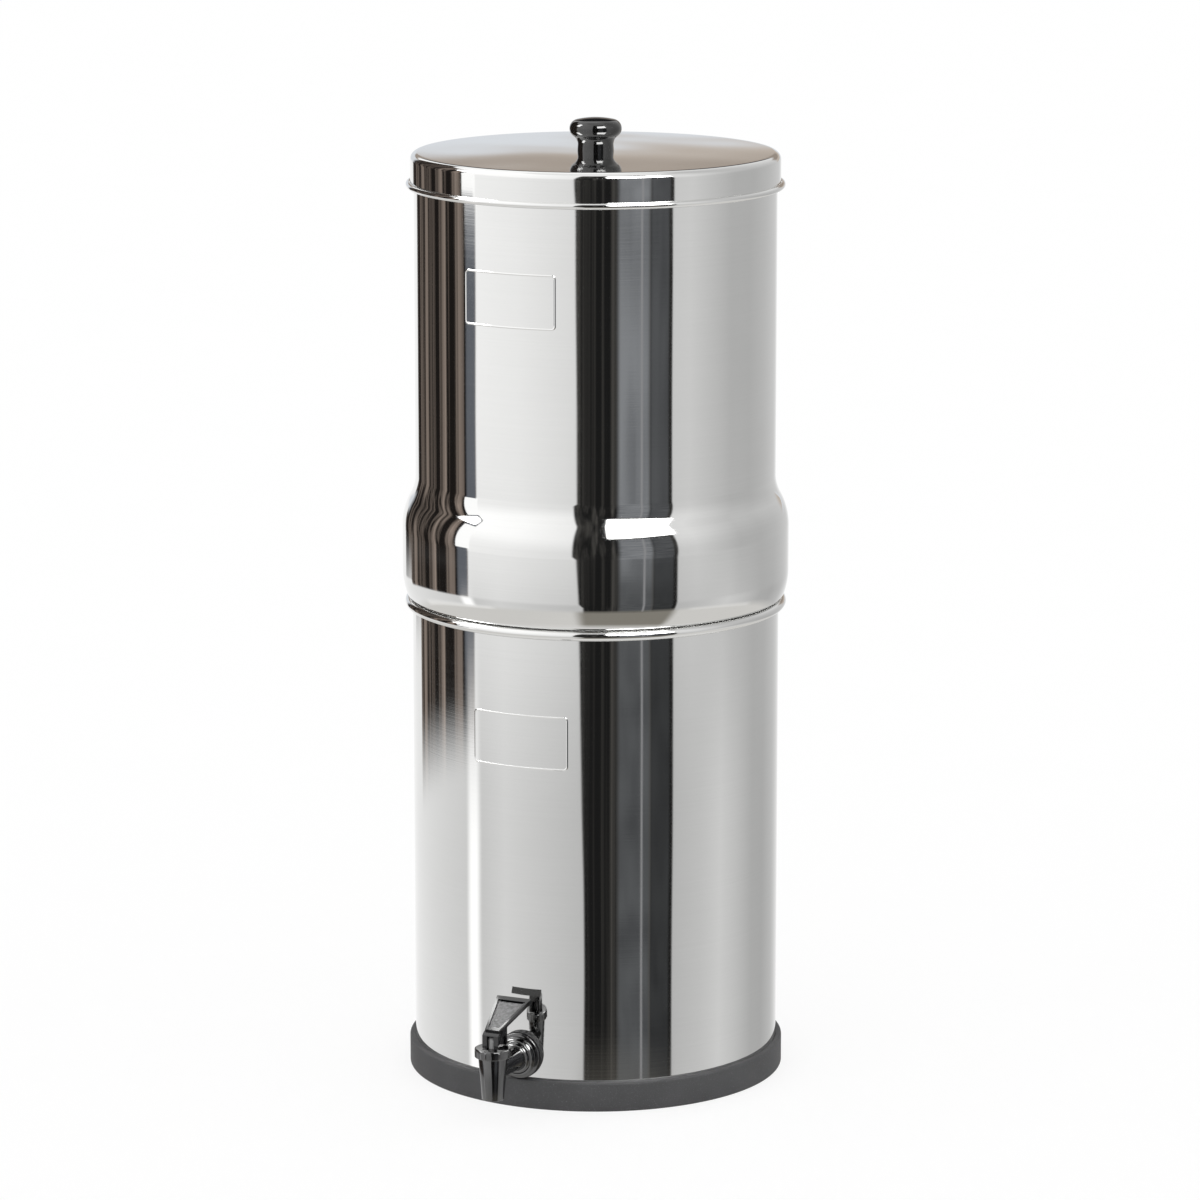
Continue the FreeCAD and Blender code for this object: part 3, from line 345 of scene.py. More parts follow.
def moulded(name, colour, roughness, grain_size=0.0008, grain_depth=0.00002, mottle=0.35, ior=1.5):
    """Moulded plastic or rubber with a fine grain and slight changes of colour and gloss."""
    made, net = new_material(name)
    grain = net.noise(net.place(), 1.0 / grain_size, 4.0, 0.6)
    cloud = net.noise(net.place(), 60.0, 3.0)
    low = tuple(c * (1 - mottle) for c in colour) + (1,)
    high = tuple(c * (1 + mottle) for c in colour) + (1,)
    shade = net.mix(net.span(cloud, 0.3, 0.7), low, high)
    gloss = net.span(grain, 0.3, 0.7, roughness * 0.85, roughness * 1.2)
    net.surface(Base_Color=shade, Roughness=gloss, IOR=ior, Normal=net.bump(grain, grain_depth))
    return made


def paddle_black():
    """Glossy black lever whose recessed paddle field is textured and of low gloss, with a lighter grey colour
    in the field that is a painted sheen of the light its texture scatters.
    """
    made, net = new_material("lever_black")
    spot = net.add("TexCoord").outputs["Object"]
    parts = net.add("SeparateXYZ", {0: spot})
    lean, level = math.sin(PADDLE_TILT), math.cos(PADDLE_TILT)
    back = net.math("SUBTRACT", parts.outputs[1], (SPOUT_Y + PADDLE_BACK) * MM)
    rise = net.math("SUBTRACT", parts.outputs[2], PADDLE_FOOT * MM)
    along = net.math("ADD", net.math("MULTIPLY", back, level), net.math("MULTIPLY", rise, lean))
    proud = net.math("SUBTRACT", net.math("MULTIPLY", rise, level), net.math("MULTIPLY", back, lean))
    depth = net.span(proud, -0.75 * MM, -0.6 * MM, 1.0, 0.0)
    depth = net.math("MULTIPLY", depth, net.span(proud, -1.2 * MM, -1.1 * MM))
    after = net.span(along, (FIELD_START - 0.1) * MM, (FIELD_START + 0.1) * MM)
    before = net.span(along, (FIELD_END - 0.3) * MM, FIELD_END * MM, 1.0, 0.0)
    reach = net.math("MULTIPLY", after, before)
    half = net.math("ADD", net.math("MULTIPLY", along, PADDLE_TAPER), (PADDLE_NARROW - PADDLE_RIM - 0.1) * MM)
    inside = net.math("LESS_THAN", net.math("ABSOLUTE", parts.outputs[0]), half)
    field = net.math("MULTIPLY", net.math("MULTIPLY", depth, reach), inside)
    grain = net.noise(net.place(), 1400.0, 3.0, 0.7)
    cloud = net.noise(net.place(), 420.0, 4.0, 0.65)
    # Painted sheen: the field's lighter, mottled grey colour stands in for light scattered by its rough
    # texture.
    painted_sheen_grey = net.mix(net.span(cloud, 0.36, 0.64), (0.05, 0.05, 0.052, 1), (0.20, 0.20, 0.202, 1))
    shade = net.mix(field, (0.005, 0.005, 0.0055, 1), painted_sheen_grey)
    gloss = net.mix(field, (0.10, 0.10, 0.10, 1), (0.42, 0.42, 0.42, 1))
    height = net.math("MULTIPLY", grain, net.math("ADD", net.math("MULTIPLY", field, 0.95), 0.05))
    net.surface(Base_Color=shade, Roughness=gloss, IOR=1.75, Normal=net.bump(height, 0.00012))
    return made


def speckled_rubber():
    """Matt black rubber with fine grey specks."""
    made, net = new_material("base_rubber")
    grain = net.noise(net.place(), 900.0, 3.0, 0.7)
    specks = net.noise(net.place(), 1600.0, 2.0, 0.6)
    cloud = net.noise(net.place(), 40.0, 3.0)
    dark = net.mix(cloud, (0.045, 0.045, 0.047, 1), (0.075, 0.075, 0.078, 1))
    shade = net.mix(net.span(specks, 0.62, 0.72, 0.0, 0.55), dark, (0.22, 0.22, 0.23, 1))
    normal = net.bump(grain, 0.00012)
    net.surface(Base_Color=shade, Roughness=0.62, Normal=normal)
    return made


steel = polished_steel()
bright_steel = plain_steel("bright_steel", (0.72, 0.72, 0.71), 0.22)
spring_steel = plain_steel("spring_steel", (0.6, 0.6, 0.6), 0.3)
gloss_black = moulded(
    "gloss_black", (0.003, 0.003, 0.0035), 0.09, grain_size=0.0006, grain_depth=0.000003, ior=2.2,
)
knob_black = moulded(
    "knob_black", (0.003, 0.003, 0.003), 0.045, grain_size=0.002, grain_depth=0.000002, ior=1.8,
)
stem_grey = moulded("stem_grey", (0.30, 0.30, 0.30), 0.35)
lever_black = paddle_black()
dull_black = moulded("dull_black", (0.03, 0.03, 0.032), 0.5)
base_rubber = speckled_rubber()
seal_rubber = moulded("seal_rubber", (0.022, 0.022, 0.023), 0.6)
silicone = moulded("silicone", (0.72, 0.72, 0.69), 0.4, mottle=0.05)
filter_carbon = moulded(
    "filter_carbon", (0.02, 0.02, 0.02), 0.85, grain_size=0.0012, grain_depth=0.0002, mottle=0.5,
)


# Chambers, lid and ring


def build_ring():
    """Rubber ring with softly rounded edges."""
    edge = 1.4
    inside = DRUM_RADIUS + RING_PLAY
    low = RING_RADIUS - RING_LEDGE
    corners = [
        (low, 0.0),
        (RING_RADIUS - edge, 0.0),
        (RING_RADIUS, edge, edge, 1),
        (RING_RADIUS, RING_HEIGHT - edge),
        (RING_RADIUS - edge, RING_HEIGHT, edge, 1),
        (inside, RING_HEIGHT),
        (inside, RING_FLOOR),
        (low, RING_FLOOR),
    ]
    lathe("base_ring", corners, base_rubber, "vessel", step=15)


def build_lower():
    """Lower drum with its rolled bead. The tap's flange covers the wall where the shank goes through."""
    centre = DRUM_TOP - BEAD_RADIUS
    inner_rise = leg(BEAD_RADIUS, BEAD_CENTRE - DRUM_INSIDE)
    outer_drop = leg(BEAD_RADIUS, BEAD_CENTRE - DRUM_RADIUS)
    low = RING_FLOOR
    corners = [
        (0, low),
        (DRUM_RADIUS - DRUM_CORNER, low),
        (DRUM_RADIUS, low + DRUM_CORNER, DRUM_CORNER, 1),
        (DRUM_RADIUS, centre - outer_drop),
        (DRUM_INSIDE, centre + inner_rise, BEAD_RADIUS, 2),
        (DRUM_INSIDE, low + DRUM_CORNER),
        (DRUM_RADIUS - DRUM_CORNER, low + SHEET, DRUM_CORNER - SHEET, -1),
        (0, low + SHEET),
    ]
    lathe("lower_chamber", corners, steel, "vessel", steps=360, step=10)


def shell_edge(offset):
    """Section of the upper chamber from its bottom to below the hem, offset inwards."""
    heel, belly, brow, hollow = HEEL_ARC - offset, BELLY_ARC - offset, BROW_ARC - offset, HOLLOW_ARC + offset
    belly_across = FOOT_RADIUS - BELLY_ARC
    low_reach = BELLY_ARC - HEEL_ARC
    heel_across = belly_across + leg(low_reach, BAND_LOW - HEEL_ARC)
    lean_across, lean_up = (heel_across - belly_across) / low_reach, (HEEL_ARC - BAND_LOW) / low_reach
    brow_across = FOOT_RADIUS - BROW_ARC
    hollow_across = NECK_RADIUS + HOLLOW_ARC
    high_reach = BROW_ARC + HOLLOW_ARC
    rise = leg(high_reach, hollow_across - brow_across)
    swing_across, swing_up = (hollow_across - brow_across) / high_reach, rise / high_reach
    spigot = DRUM_INSIDE - SPIGOT_PLAY - offset
    return [
        (0, offset - SPIGOT_DROP),
        (spigot + offset - SPIGOT_CORNER, offset - SPIGOT_DROP),
        (spigot, SPIGOT_CORNER - SPIGOT_DROP, SPIGOT_CORNER - offset, 1),
        (spigot, offset),
        (heel_across, offset),
        (heel_across + heel * lean_across, HEEL_ARC + heel * lean_up, heel, 1),
        (FOOT_RADIUS - offset, BAND_LOW, belly, 1),
        (FOOT_RADIUS - offset, BAND_HIGH),
        (brow_across + brow * swing_across, BAND_HIGH + brow * swing_up, brow, 1),
        (NECK_RADIUS - offset, BAND_HIGH + rise, hollow, -1),
    ]


def build_upper():
    """Upper drum with its bulged foot and folded hem."""
    outside = outline(shell_edge(0.0), 2.0)
    inside = outline(shell_edge(SHEET), 2.0)
    top = RIM_TOP - SHOULDER
    hem = outline([
        (NECK_RADIUS, top - HEM_DEPTH),
        (HEM_RADIUS, top - HEM_DEPTH),
        (HEM_RADIUS, top - HEM_EDGE),
        (HEM_RADIUS - HEM_EDGE, top, HEM_EDGE, 1),
        (NECK_RADIUS - SHEET, top),
    ], 20)
    bm = bmesh.new()
    spin(bm, outside + hem + inside[::-1], 360, Matrix.Translation((0, 0, SHOULDER)))
    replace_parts(finish_mesh("upper_chamber_shape", bm, steel, "upper"), "upper_chamber")


def build_lid():
    """Lid with a shallow crown, a rounded corner, a skirt and a rolled bead."""
    bead_centre = SKIRT_OUTSIDE + LID_BEAD_OUT
    outer_rise = leg(LID_BEAD_RADIUS, LID_BEAD_OUT)
    inner_drop = leg(LID_BEAD_RADIUS, bead_centre - SKIRT_INSIDE)
    flat = SKIRT_OUTSIDE - LID_CORNER
    crown = (flat * flat + LID_RISE * LID_RISE) / (2 * LID_RISE)
    top = LID_CORNER + LID_RISE
    corners = [
        (SKIRT_OUTSIDE, 0),
        (flat, LID_CORNER, LID_CORNER, 1),
        (LID_HOLE, top, crown, 1, 48),
        (LID_HOLE, top - SHEET),
        (flat, LID_CORNER - SHEET, crown, -1, 8),
        (SKIRT_INSIDE, 0, LID_CORNER - SHEET, -1),
        (SKIRT_INSIDE, -SKIRT_DROP - inner_drop),
        (SKIRT_OUTSIDE, outer_rise - SKIRT_DROP, LID_BEAD_RADIUS, 2),
    ]
    lathe("lid", corners, steel, "lid", LID_HEIGHT, steps=360, step=3)


def build_knob():
    """Turned knob with a foot, a waist and a mushroom head."""
    height, head, edge, crown = 22.6, 17.9, 6.2, 60.0
    foot, waist, waist_height = 12.5, 12.2, 4.6
    throat, throat_height = 7.5, 9.8
    bore, bore_depth = 2.0, 12.0
    crown_centre = height - crown
    shoulder_across = head - edge
    shoulder_up = crown_centre + leg(crown - edge, shoulder_across)
    lean_across = shoulder_across / (crown - edge)
    lean_up = (shoulder_up - crown_centre) / (crown - edge)
    corners = [
        (bore, 0.0),
        (foot, 0.0),
        (waist, waist_height),
        (head - edge / 2, throat_height, throat, -1),
        (head, shoulder_up, edge, 1),
        (shoulder_across + edge * lean_across, shoulder_up + edge * lean_up, edge, 1),
        (0.0, height, crown, 1),
        (0.0, bore_depth),
        (bore, bore_depth),
    ]
    lathe("lid_knob", corners, knob_black, "lid", KNOB_FOOT, steps=128, step=3)


# Tap


def tap_lathe(bm, corners, steps=96, step=12):
    """Turned form about the spout's upright axis."""
    spin(bm, outline(corners, step), steps, Matrix.Translation((0, SPOUT_Y, 0)))


def level_lathe(bm, corners, steps=96, step=12):
    """Turned form about the tap's level axis, from (radius, distance behind the spout's axis) corners."""
    lay = Matrix.Translation((0, SPOUT_Y, TAP_HEIGHT)) @ Matrix.Rotation(math.radians(-90), 4, "X")
    spin(bm, outline(corners, step), steps, lay)


def build_tap_body():
    """Moulded valve body: tapered spout, barrel, stepped flange with rounded rings, and threaded shank."""
    bm = bmesh.new()
    tap_lathe(bm, SPOUT_SECTION)
    level_lathe(bm, SHANK_SECTION)
    for turn in range(THREAD_TURNS):
        start = THREAD_START + THREAD_PITCH * turn
        level_lathe(bm, [(radius, start + along) for radius, along in THREAD_SECTION], steps=48)
    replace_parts(finish_mesh("tap_body_shape", bm, gloss_black, "vessel", 40), "tap_body")


def add_rib(bm, angle):
    """Upright grip rib on the bonnet, set in at both ends."""
    rings = []
    for height, inset in RIB_LEVELS:
        ring = []
        for radius, across in RIB_SECTION:
            reach = radius - (inset if radius > RIB_ROOT else 0.0)
            x = reach * math.cos(angle) - across * math.sin(angle)
            y = SPOUT_Y + reach * math.sin(angle) + across * math.cos(angle)
            ring.append(bm.verts.new((x, y, height)))
        rings.append(ring)
    count = len(RIB_SECTION)
    for low_ring, high_ring in zip(rings, rings[1:]):
        for k in range(count):
            n = (k + 1) % count
            bm.faces.new((low_ring[k], low_ring[n], high_ring[n], high_ring[k]))
    bm.faces.new(rings[0][::-1])
    bm.faces.new(rings[-1])


def build_bonnet():
    """Collar with a rounded top edge, a dished top and grip ribs."""
    bm = bmesh.new()
    tap_lathe(bm, BONNET_SECTION, steps=128)
    for rib in range(RIB_COUNT):
        add_rib(bm, math.radians(360 / RIB_COUNT * rib))
    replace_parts(finish_mesh("tap_bonnet_shape", bm, gloss_black, "vessel", 40), "tap_bonnet")


def prism(name, points, low, high, frame_matrix):
    """Closed prism of a flat outline between two distances along its third axis, as a loose mesh object."""
    bm = bmesh.new()
    bottom = [bm.verts.new((x, y, low)) for x, y in points]
    top = [bm.verts.new((x, y, high)) for x, y in points]
    for k in range(len(points)):
        n = (k + 1) % len(points)
        bm.faces.new((bottom[k], bottom[n], top[n], top[k]))
    bm.faces.new(bottom[::-1])
    bm.faces.new(top)
    bmesh.ops.transform(bm, matrix=Matrix.Scale(MM, 4) @ frame_matrix, verts=bm.verts)
    bmesh.ops.recalc_face_normals(bm, faces=bm.faces)
    mesh = bpy.data.meshes.new(name)
    bm.to_mesh(mesh)
    bm.free()
    made = bpy.data.objects.new(name, mesh)
    bpy.context.scene.collection.objects.link(made)
    return made


def combine(base, others):
    """Join or cut prisms in turn and keep only the result."""
    for other, operation in others:
        step = base.modifiers.new("step", "BOOLEAN")
        step.operation = operation
        step.object = other
        step.solver = "EXACT"
    bpy.context.view_layer.update()
    evaluated = base.evaluated_get(bpy.context.evaluated_depsgraph_get())
    mesh = bpy.data.meshes.new_from_object(evaluated)
    base.modifiers.clear()
    base.data = mesh
    for other, _ in others:
        bpy.data.objects.remove(other)
    return base


def tapered(low_half, high_half, low, high):
    """Outline of a plate that is as wide as low_half each way at low, and as wide as high_half at high."""
    return [(-low_half, low), (low_half, low), (high_half, high), (-high_half, high)]


def build_lever():
    """Forked lever with an arched recess in each cheek and a ribbed, textured paddle."""
    cheek, slot_half, slot_roof = 5.9, 2.6, 62.4
    arch_floor, past = 4.9, 9.0
    front, front_top, back, foot_height, toe = -4.2, 62.9, 10.4, 53.9, 1.0
    thickness, lip_start, lip_drop = 3.2, 36.5, 4.6
    field_depth, groove_width, groove_depth, above = 0.9, 1.3, 1.7, 1.0
    sink = thickness / 2 / math.cos(PADDLE_TILT)
    back_top = PADDLE_FOOT + (back - PADDLE_BACK) * math.tan(PADDLE_TILT) - sink
    side = Matrix(((0, 0, 1, 0), (1, 0, 0, SPOUT_Y), (0, 1, 0, 0), (0, 0, 0, 1)))
    lay = Matrix.Translation((0, SPOUT_Y + PADDLE_BACK, PADDLE_FOOT))
    tilt = lay @ Matrix.Rotation(PADDLE_TILT, 4, "X")
    foot = outline([
        (front, foot_height), (back - toe, foot_height), (back, foot_height + toe, toe, 1),
        (back, back_top), (PADDLE_BACK, PADDLE_FOOT - sink), (front, front_top),
    ], 15)
    lever = prism("tap_handle_shape", foot, -cheek, cheek, side)
    plate = prism("plate", tapered(PADDLE_NARROW, PADDLE_WIDE, 0, PADDLE_LENGTH), -thickness, 0.0, tilt)
    lip = prism("lip", tapered(PADDLE_WIDE, PADDLE_WIDE, lip_start, PADDLE_LENGTH), -lip_drop, 0.0, tilt)
    start_half = PADDLE_NARROW + PADDLE_TAPER * FIELD_START - PADDLE_RIM
    end_half = PADDLE_NARROW + PADDLE_TAPER * FIELD_END - PADDLE_RIM
    field = tapered(start_half, end_half, FIELD_START, FIELD_END)
    recess = prism("recess", field, -field_depth, above, tilt)
    reach = end_half - PADDLE_RIM
    trench = tapered(reach, reach, FIELD_END - groove_width, FIELD_END)
    groove = prism("groove", trench, -groove_depth, above, tilt)
    slot = prism("slot", tapered(20, 20, 40, slot_roof), -slot_half, slot_half, side)
    arch = outline([
        (-2.4, 47.5), (8.6, 47.5), (8.6, 58.0), (5.3, 61.3, 3.3, 1), (0.9, 61.3), (-2.4, 58.0, 3.3, 1),
    ], 15)
    left = prism("left_arch", arch, -past, -arch_floor, side)
    right = prism("right_arch", arch, arch_floor, past, side)
    lever = combine(lever, [
        (plate, "UNION"), (lip, "UNION"), (recess, "DIFFERENCE"), (groove, "DIFFERENCE"),
        (slot, "DIFFERENCE"), (left, "DIFFERENCE"), (right, "DIFFERENCE"),
    ])
    bevel = lever.modifiers.new("edges", "BEVEL")
    bevel.width = 0.32 * MM
    bevel.segments = 3
    bevel.limit_method = "ANGLE"
    bevel.angle_limit = math.radians(28)
    lever.data.polygons.foreach_set("use_smooth", [True] * len(lever.data.polygons))
    lever.data.set_sharp_from_angle(angle=math.radians(40))
    lever.data.materials.clear()
    lever.data.materials.append(lever_black)
    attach(lever, "lever")
    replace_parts(lever, "tap_handle")


def build_spring():
    """Copy of the valve's spring, with its own mesh, in place of the spring."""
    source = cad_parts["valve_spring"]
    made = bpy.data.objects.new("squeezed_spring", source.data.copy())
    made.matrix_world = source.matrix_world.copy()
    bpy.context.scene.collection.objects.link(made)
    made.data.materials.clear()
    made.data.materials.append(spring_steel)
    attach(made, "vessel")
    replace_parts(made, "valve_spring")
    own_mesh(made)


build_ring()
build_lower()
build_upper()
build_lid()
build_knob()
build_tap_body()
build_bonnet()
build_spring()
build_lever()

for name, material in {
    "knob_washer": bright_steel, "knob_screw": bright_steel, "handle_pin": bright_steel,
    "filter_block_1": filter_carbon, "filter_block_2": filter_carbon,
    "filter_base_1": dull_black, "filter_base_2": dull_black, "filter_washers": seal_rubber,
    "wing_nuts": dull_black, "hole_plugs": seal_rubber, "plug_nuts": dull_black,
    "tap_outer_washer": seal_rubber, "tap_inner_washer": seal_rubber,
    "tap_nut": dull_black, "seat_cup": silicone, "valve_stem": stem_grey, "valve_spring": spring_steel,
}.items():
    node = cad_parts[name]
    node.data.materials.clear()
    node.data.materials.append(material)


# Embossed plates


def build_plate(name, body, radius, turn, height, width, tall):
    """Pressed frame line of a bare plate: a low rounded ridge along a rounded rectangle on the drum."""
    bm = bmesh.new()
    corner, longest = 2.4, 1.5
    path = outline([
        (width / 2 - corner, -tall / 2), (width / 2, -tall / 2 + corner, corner, 1),
        (width / 2, tall / 2 - corner), (width / 2 - corner, tall / 2, corner, 1),
        (-width / 2 + corner, tall / 2), (-width / 2, tall / 2 - corner, corner, 1),
        (-width / 2, -tall / 2 + corner), (-width / 2 + corner, -tall / 2, corner, 1),
    ], 10)
    fine = []
    for (x0, y0), (x1, y1) in zip(path, path[1:] + path[:1]):
        count = max(1, math.ceil(math.hypot(x1 - x0, y1 - y0) / longest))
        fine += [(x0 + (x1 - x0) * k / count, y0 + (y1 - y0) * k / count) for k in range(count)]
    rings = []
    for index, (x, y) in enumerate(fine):
        ahead, behind = Vector(fine[(index + 1) % len(fine)]), Vector(fine[index - 1])
        along = (ahead - behind).normalized()
        out = Vector((along.y, -along.x))
        ring = []
        for shift, rise in RIDGE_SECTION:
            angle = math.radians(turn) + (x + out.x * shift) / radius
            reach = radius + rise
            up = height + (y + out.y * shift)
            ring.append(bm.verts.new((reach * math.sin(angle), -reach * math.cos(angle), up)))
        rings.append(ring)
    for first, second in zip(rings, rings[1:] + rings[:1]):
        for k in range(len(RIDGE_SECTION) - 1):
            bm.faces.new((first[k], first[k + 1], second[k + 1], second[k]))
    made = finish_mesh(name, bm, steel, body, 60)


build_plate("upper_plate_frame", "upper", NECK_RADIUS, turn=-4.6, height=556.2, width=69.0, tall=36.0)
build_plate("lower_plate_frame", "vessel", DRUM_RADIUS, turn=-0.6, height=256.7, width=69.6, tall=36.0)


# Studio


def build_floor():
    """Large pale floor that takes the soft shadow."""
    bm = bmesh.new()
    bmesh.ops.create_grid(bm, x_segments=1, y_segments=1, size=40)
    mesh = bpy.data.meshes.new("floor")
    bm.to_mesh(mesh)
    bm.free()
    made, net = new_material("floor")
    grain = net.noise(net.place(), 9.0, 2.0)
    shade = net.mix(grain, (0.90, 0.90, 0.90, 1), (0.93, 0.93, 0.93, 1))
    plain = net.add("BsdfDiffuse", {"Color": shade})
    white = net.add("Emission", {"Color": (1, 1, 1, 1), "Strength": 1.0})
    seen = net.add("LightPath").outputs["Is Camera Ray"]
    whiteness = 0.82
    share = net.math("MULTIPLY", seen, whiteness)
    both = net.add("MixShader", {0: share, 1: plain.outputs[0], 2: white.outputs[0]})
    output = net.add("OutputMaterial")
    net.tree.links.new(both.outputs[0], output.inputs[0])
    mesh.materials.append(made)
    floor = bpy.data.objects.new("floor", mesh)
    bpy.context.scene.collection.objects.link(floor)
    floor.visible_glossy = False


# Greys of the studio's walls by their turn from the camera, in degrees, high up and near the floor.
# SOFTBOX is the strength of the boxes overhead.
WALL_HIGH = (
    (-180, 1.0), (-154, 0.95), (-82, 1.04), (-50, 0.98), (-10, 0.82), (48, 0.68), (62, 0.70), (78, 0.60),
    (95, 0.50), (115, 0.49), (135, 0.55), (160, 0.66), (174, 0.95), (180, 1.0),
)
WALL_LOW = (
    (-180, 1.0), (-154, 0.90), (-92, 0.72), (-76, 0.68), (-60, 0.76), (-10, 0.58), (48, 0.54), (70, 0.62),
    (86, 0.71), (100, 0.62), (118, 0.48), (132, 0.46), (150, 0.56), (174, 0.90), (180, 1.0),
)
SOFTBOX = 11.0


def build_world():
    """Pale studio: light walls and ceiling, a few dark boards and bright boxes that the steel mirrors."""
    world = bpy.data.worlds.new("studio")
    bpy.context.scene.world = world
    world.use_nodes = True
    net = Net(world.node_tree)
    ray = net.add("TexCoord").outputs["Generated"]
    turn = math.radians(CAMERA_TURN)
    toward = (math.sin(turn), -math.cos(turn), 0.0)
    beside = (math.cos(turn), math.sin(turn), 0.0)
    ahead = net.add("VectorMath", {0: ray, 1: toward}, operation="DOT_PRODUCT").outputs["Value"]
    right = net.add("VectorMath", {0: ray, 1: beside}, operation="DOT_PRODUCT").outputs["Value"]
    up = net.add("SeparateXYZ", {0: ray}).outputs[2]
    bearing = net.math("DEGREES", net.math("ARCTAN2", right, ahead))
    height = net.math("DEGREES", net.math("ARCSINE", up))

    def wall(stops):
        """Grey of a wall all the way round."""
        ramp = net.add("ValToRGB", {0: net.span(bearing, -180, 180)})
        elements = ramp.color_ramp.elements
        for index, (where, grey) in enumerate(stops):
            place = (where + 180) / 360
            stop = elements[index] if index < 2 else elements.new(place)
            stop.position = place
            stop.color = (grey, grey, grey, 1)
        return ramp.outputs[0]

    def window(low, high, bottom, top, blur=1.0):
        """Mask of a board between two turns and two heights, soft by blur at its edges, in degrees."""
        left = net.span(bearing, low - blur, low + blur, smooth=True)
        rest = net.span(bearing, high - blur, high + blur, 1.0, 0.0, smooth=True)
        foot = net.span(height, bottom - blur, bottom + blur, smooth=True)
        head = net.span(height, top - blur, top + blur, 1.0, 0.0, smooth=True)
        return net.math("MULTIPLY", net.math("MULTIPLY", left, rest), net.math("MULTIPLY", foot, head))

    def board(base, colour, *sides):
        """Lay a board over what is behind it. One number is a grey, and sides are what window takes."""
        if isinstance(colour, (int, float)):
            colour = (colour, colour, colour, 1)
        return net.mix(window(*sides), base, colour)

    def cloth(scale_turn, scale_height, low, dark, bright, seed):
        """Folds of cloth as streaks that run up, from one colour to another."""
        across = net.math("MULTIPLY", bearing, scale_turn)
        upward = net.math("MULTIPLY", height, scale_height)
        spot = net.add("CombineXYZ", {0: across, 1: upward, 2: seed}).outputs[0]
        folds = net.noise(spot, 1.0, 4.0, 0.62)
        return net.mix(net.span(folds, low, low + 0.22), dark, bright)

    low_mix = net.span(height, -16, -8, smooth=True)
    studio = net.mix(low_mix, wall(WALL_LOW), wall(WALL_HIGH))
    lift = net.span(height, -4, 26, 1.0, 1.2, smooth=True)
    lift_colour = net.add("CombineColor", {0: lift, 1: lift, 2: lift}).outputs[0]
    lifted = net.add("Mix", {0: 1.0, 6: studio, 7: lift_colour}, data_type="RGBA", blend_type="MULTIPLY")
    studio = lifted.outputs[2]

    # Brown cloth on the left, with lighter folds
    brown = cloth(0.13, 0.008, 0.47, (0.013, 0.011, 0.010, 1), (0.42, 0.34, 0.29, 1), 3.0)
    studio = board(studio, brown, -156, -82, -11.5, 40, 1.0)
    studio = board(studio, brown, -143, -82, -13.8, -10.5, 0.8)
    studio = board(studio, (0.13, 0.14, 0.16, 1), -90, -82, -13, 40, 1.2)
    studio = board(studio, 1.2, -91, -80, -6.9, 24, 0.4)
    # Black cloth beside the camera with a grey board in it
    black = cloth(0.22, 0.01, 0.46, (0.012, 0.012, 0.012, 1), (0.10, 0.095, 0.088, 1), 7.0)
    left_edge = net.math("SUBTRACT", bearing, net.span(height, -17, -6, -7.6, -13.5))
    cut = net.math("MULTIPLY", window(-20, 49.5, -40, 62, 0.7), net.span(left_edge, -0.8, 0.8, smooth=True))
    studio = net.mix(cut, studio, black)
    grey_high = cloth(0.05, 0.9, 0.36, (0.13, 0.135, 0.145, 1), (0.26, 0.27, 0.285, 1), 11.0)
    grey_low = cloth(0.05, 0.9, 0.36, (0.06, 0.062, 0.066, 1), (0.11, 0.115, 0.12, 1), 12.0)
    grey = net.mix(net.span(height, -12, -9.5), grey_low, grey_high)
    studio = board(studio, grey, 14, 34, -24, 24, 1.8)
    dim = net.mix(0.62, grey, (0.01, 0.01, 0.01, 1))
    studio = board(studio, dim, 35, 47, -24, 24, 1.0)
    studio = board(studio, (0.30, 0.30, 0.31, 1), 28.4, 29.6, -24, 24, 0.5)
    # Bright boxes overhead and the strip beside the tap
    studio = board(studio, SOFTBOX, 8, 51, 27, 50, 1.6)
    studio = board(studio, SOFTBOX, -104, -84, 27, 50, 1.6)
    studio = board(studio, 1.5, -128, -66, -40, -24, 4.0)
    studio = board(studio, 1.4, 60, 110, -40, -25, 4.0)
    studio = board(studio, 1.25, -88, -79.5, -24, -13.8, 2.6)
    # Table that the underside of the foot mirrors
    side = net.span(bearing, -16, -6, smooth=True)
    side = net.math("MULTIPLY", side, net.span(bearing, 46, 54, 1.0, 0.0, smooth=True))
    table = net.mix(side, (0.70, 0.69, 0.67, 1), (0.25, 0.235, 0.205, 1))
    table = net.mix(net.span(height, -52, -44, 1.0, 0.0), table, (0.78, 0.775, 0.765, 1))
    studio = net.mix(net.span(height, -26, -21, 1.0, 0.0), studio, table)
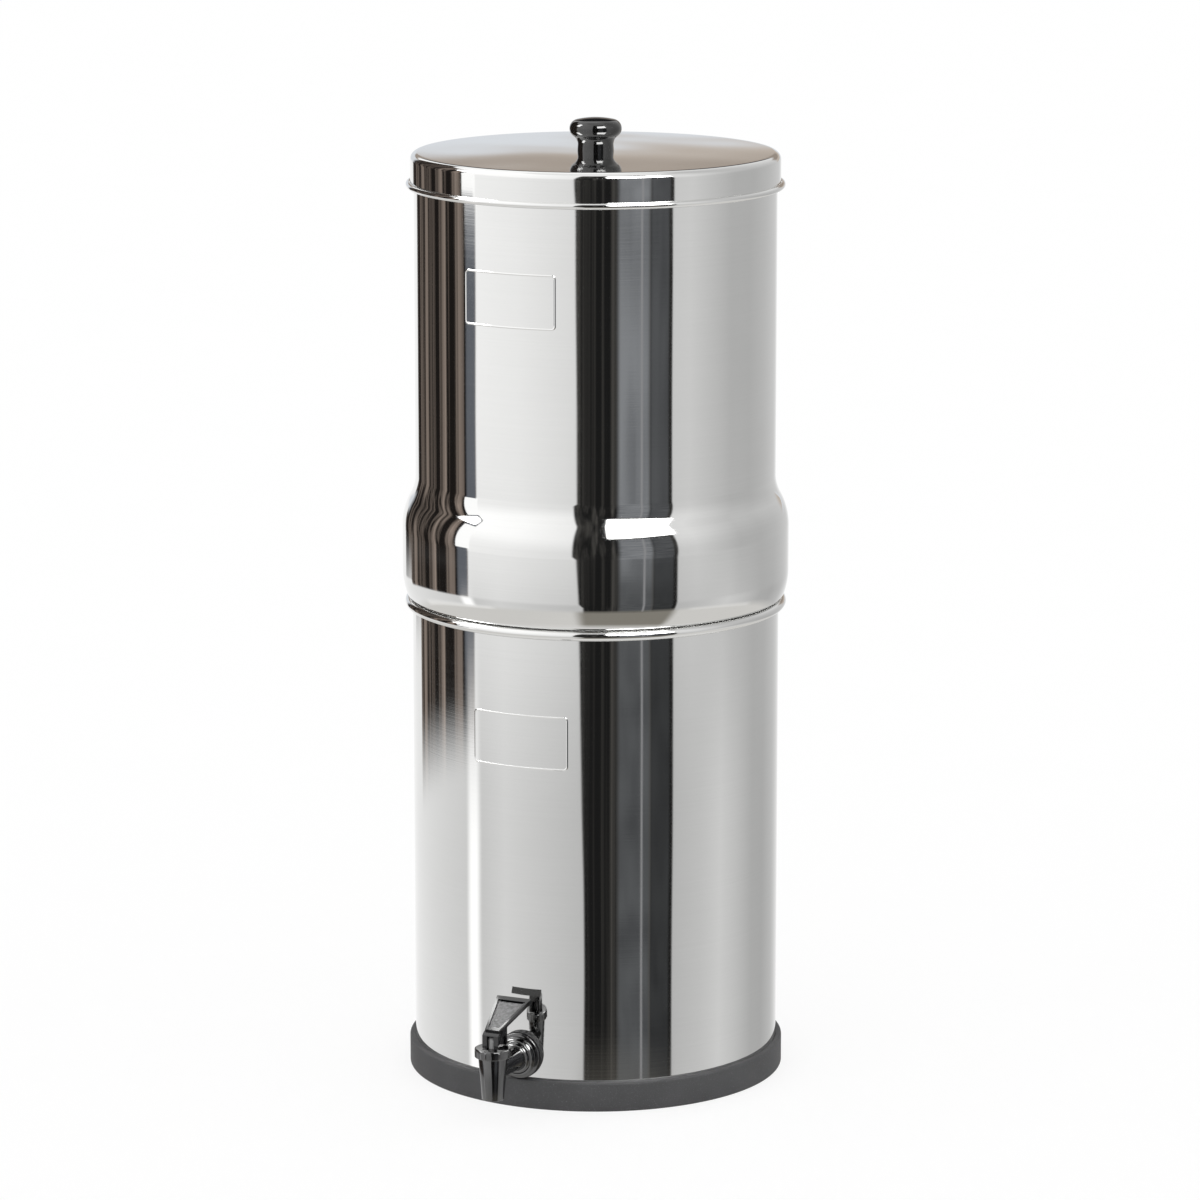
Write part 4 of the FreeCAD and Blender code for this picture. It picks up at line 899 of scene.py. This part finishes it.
    # Back of the room: dark above, and a warm wall with a light corner that the lid mirrors
    back = net.span(net.math("ABSOLUTE", bearing), 164, 170, smooth=True)
    above = net.math("MULTIPLY", net.span(height, 13, 17, smooth=True), net.span(height, 36, 40, 1.0, 0.0))
    studio = net.mix(net.math("MULTIPLY", back, above), studio, (0.035, 0.035, 0.037, 1))
    behind = net.span(net.math("ABSOLUTE", bearing), 150, 156)
    behind = net.math("MULTIPLY", behind, net.span(height, -4.0, -1.0))
    behind = net.math("MULTIPLY", behind, net.span(height, 14, 17, 1.0, 0.0))
    leaning = net.math("ADD", height, net.math("MULTIPLY", right, 19.0))
    brown_wall = net.mix(net.span(height, 6.0, 8.4), (0.56, 0.495, 0.435, 1), (0.34, 0.29, 0.25, 1))
    warm = net.mix(net.span(leaning, 5.8, 6.7, smooth=True), (0.74, 0.77, 0.81, 1), brown_wall)
    studio = net.mix(behind, studio, warm)
    studio = net.mix(net.span(height, 64, 70), studio, (0.95, 0.95, 0.95, 1))

    soft = net.span(up, -1.0, 1.0, 0.5, 1.2)
    rays = net.add("LightPath")
    plain = net.add("CombineColor", {0: soft, 1: soft, 2: soft}).outputs[0]
    lit = net.mix(rays.outputs["Is Glossy Ray"], plain, studio)
    shown = net.mix(rays.outputs["Is Camera Ray"], lit, (1.0, 1.0, 1.0, 1))
    background = net.add("Background", {0: shown, 1: 1.0})
    output = net.add("OutputWorld")
    net.tree.links.new(background.outputs[0], output.inputs[0])


def build_camera():
    """Camera at the photograph's viewing angle."""
    data = bpy.data.cameras.new("camera")
    data.sensor_width = CAMERA_SENSOR
    data.lens = CAMERA_LENS
    camera = bpy.data.objects.new("camera", data)
    bpy.context.scene.collection.objects.link(camera)
    turn = math.radians(CAMERA_TURN)
    right = Vector((math.cos(turn), math.sin(turn), 0.0))
    back = Vector((CAMERA_AWAY * math.sin(turn), -CAMERA_AWAY * math.cos(turn), CAMERA_HEIGHT))
    camera.location = back + CAMERA_ASIDE * right
    camera.rotation_euler = (math.radians(90 - CAMERA_DIP), 0.0, turn)
    bpy.context.scene.camera = camera


build_floor()
build_world()
build_camera()
bpy.context.scene.view_settings.view_transform = "Standard"
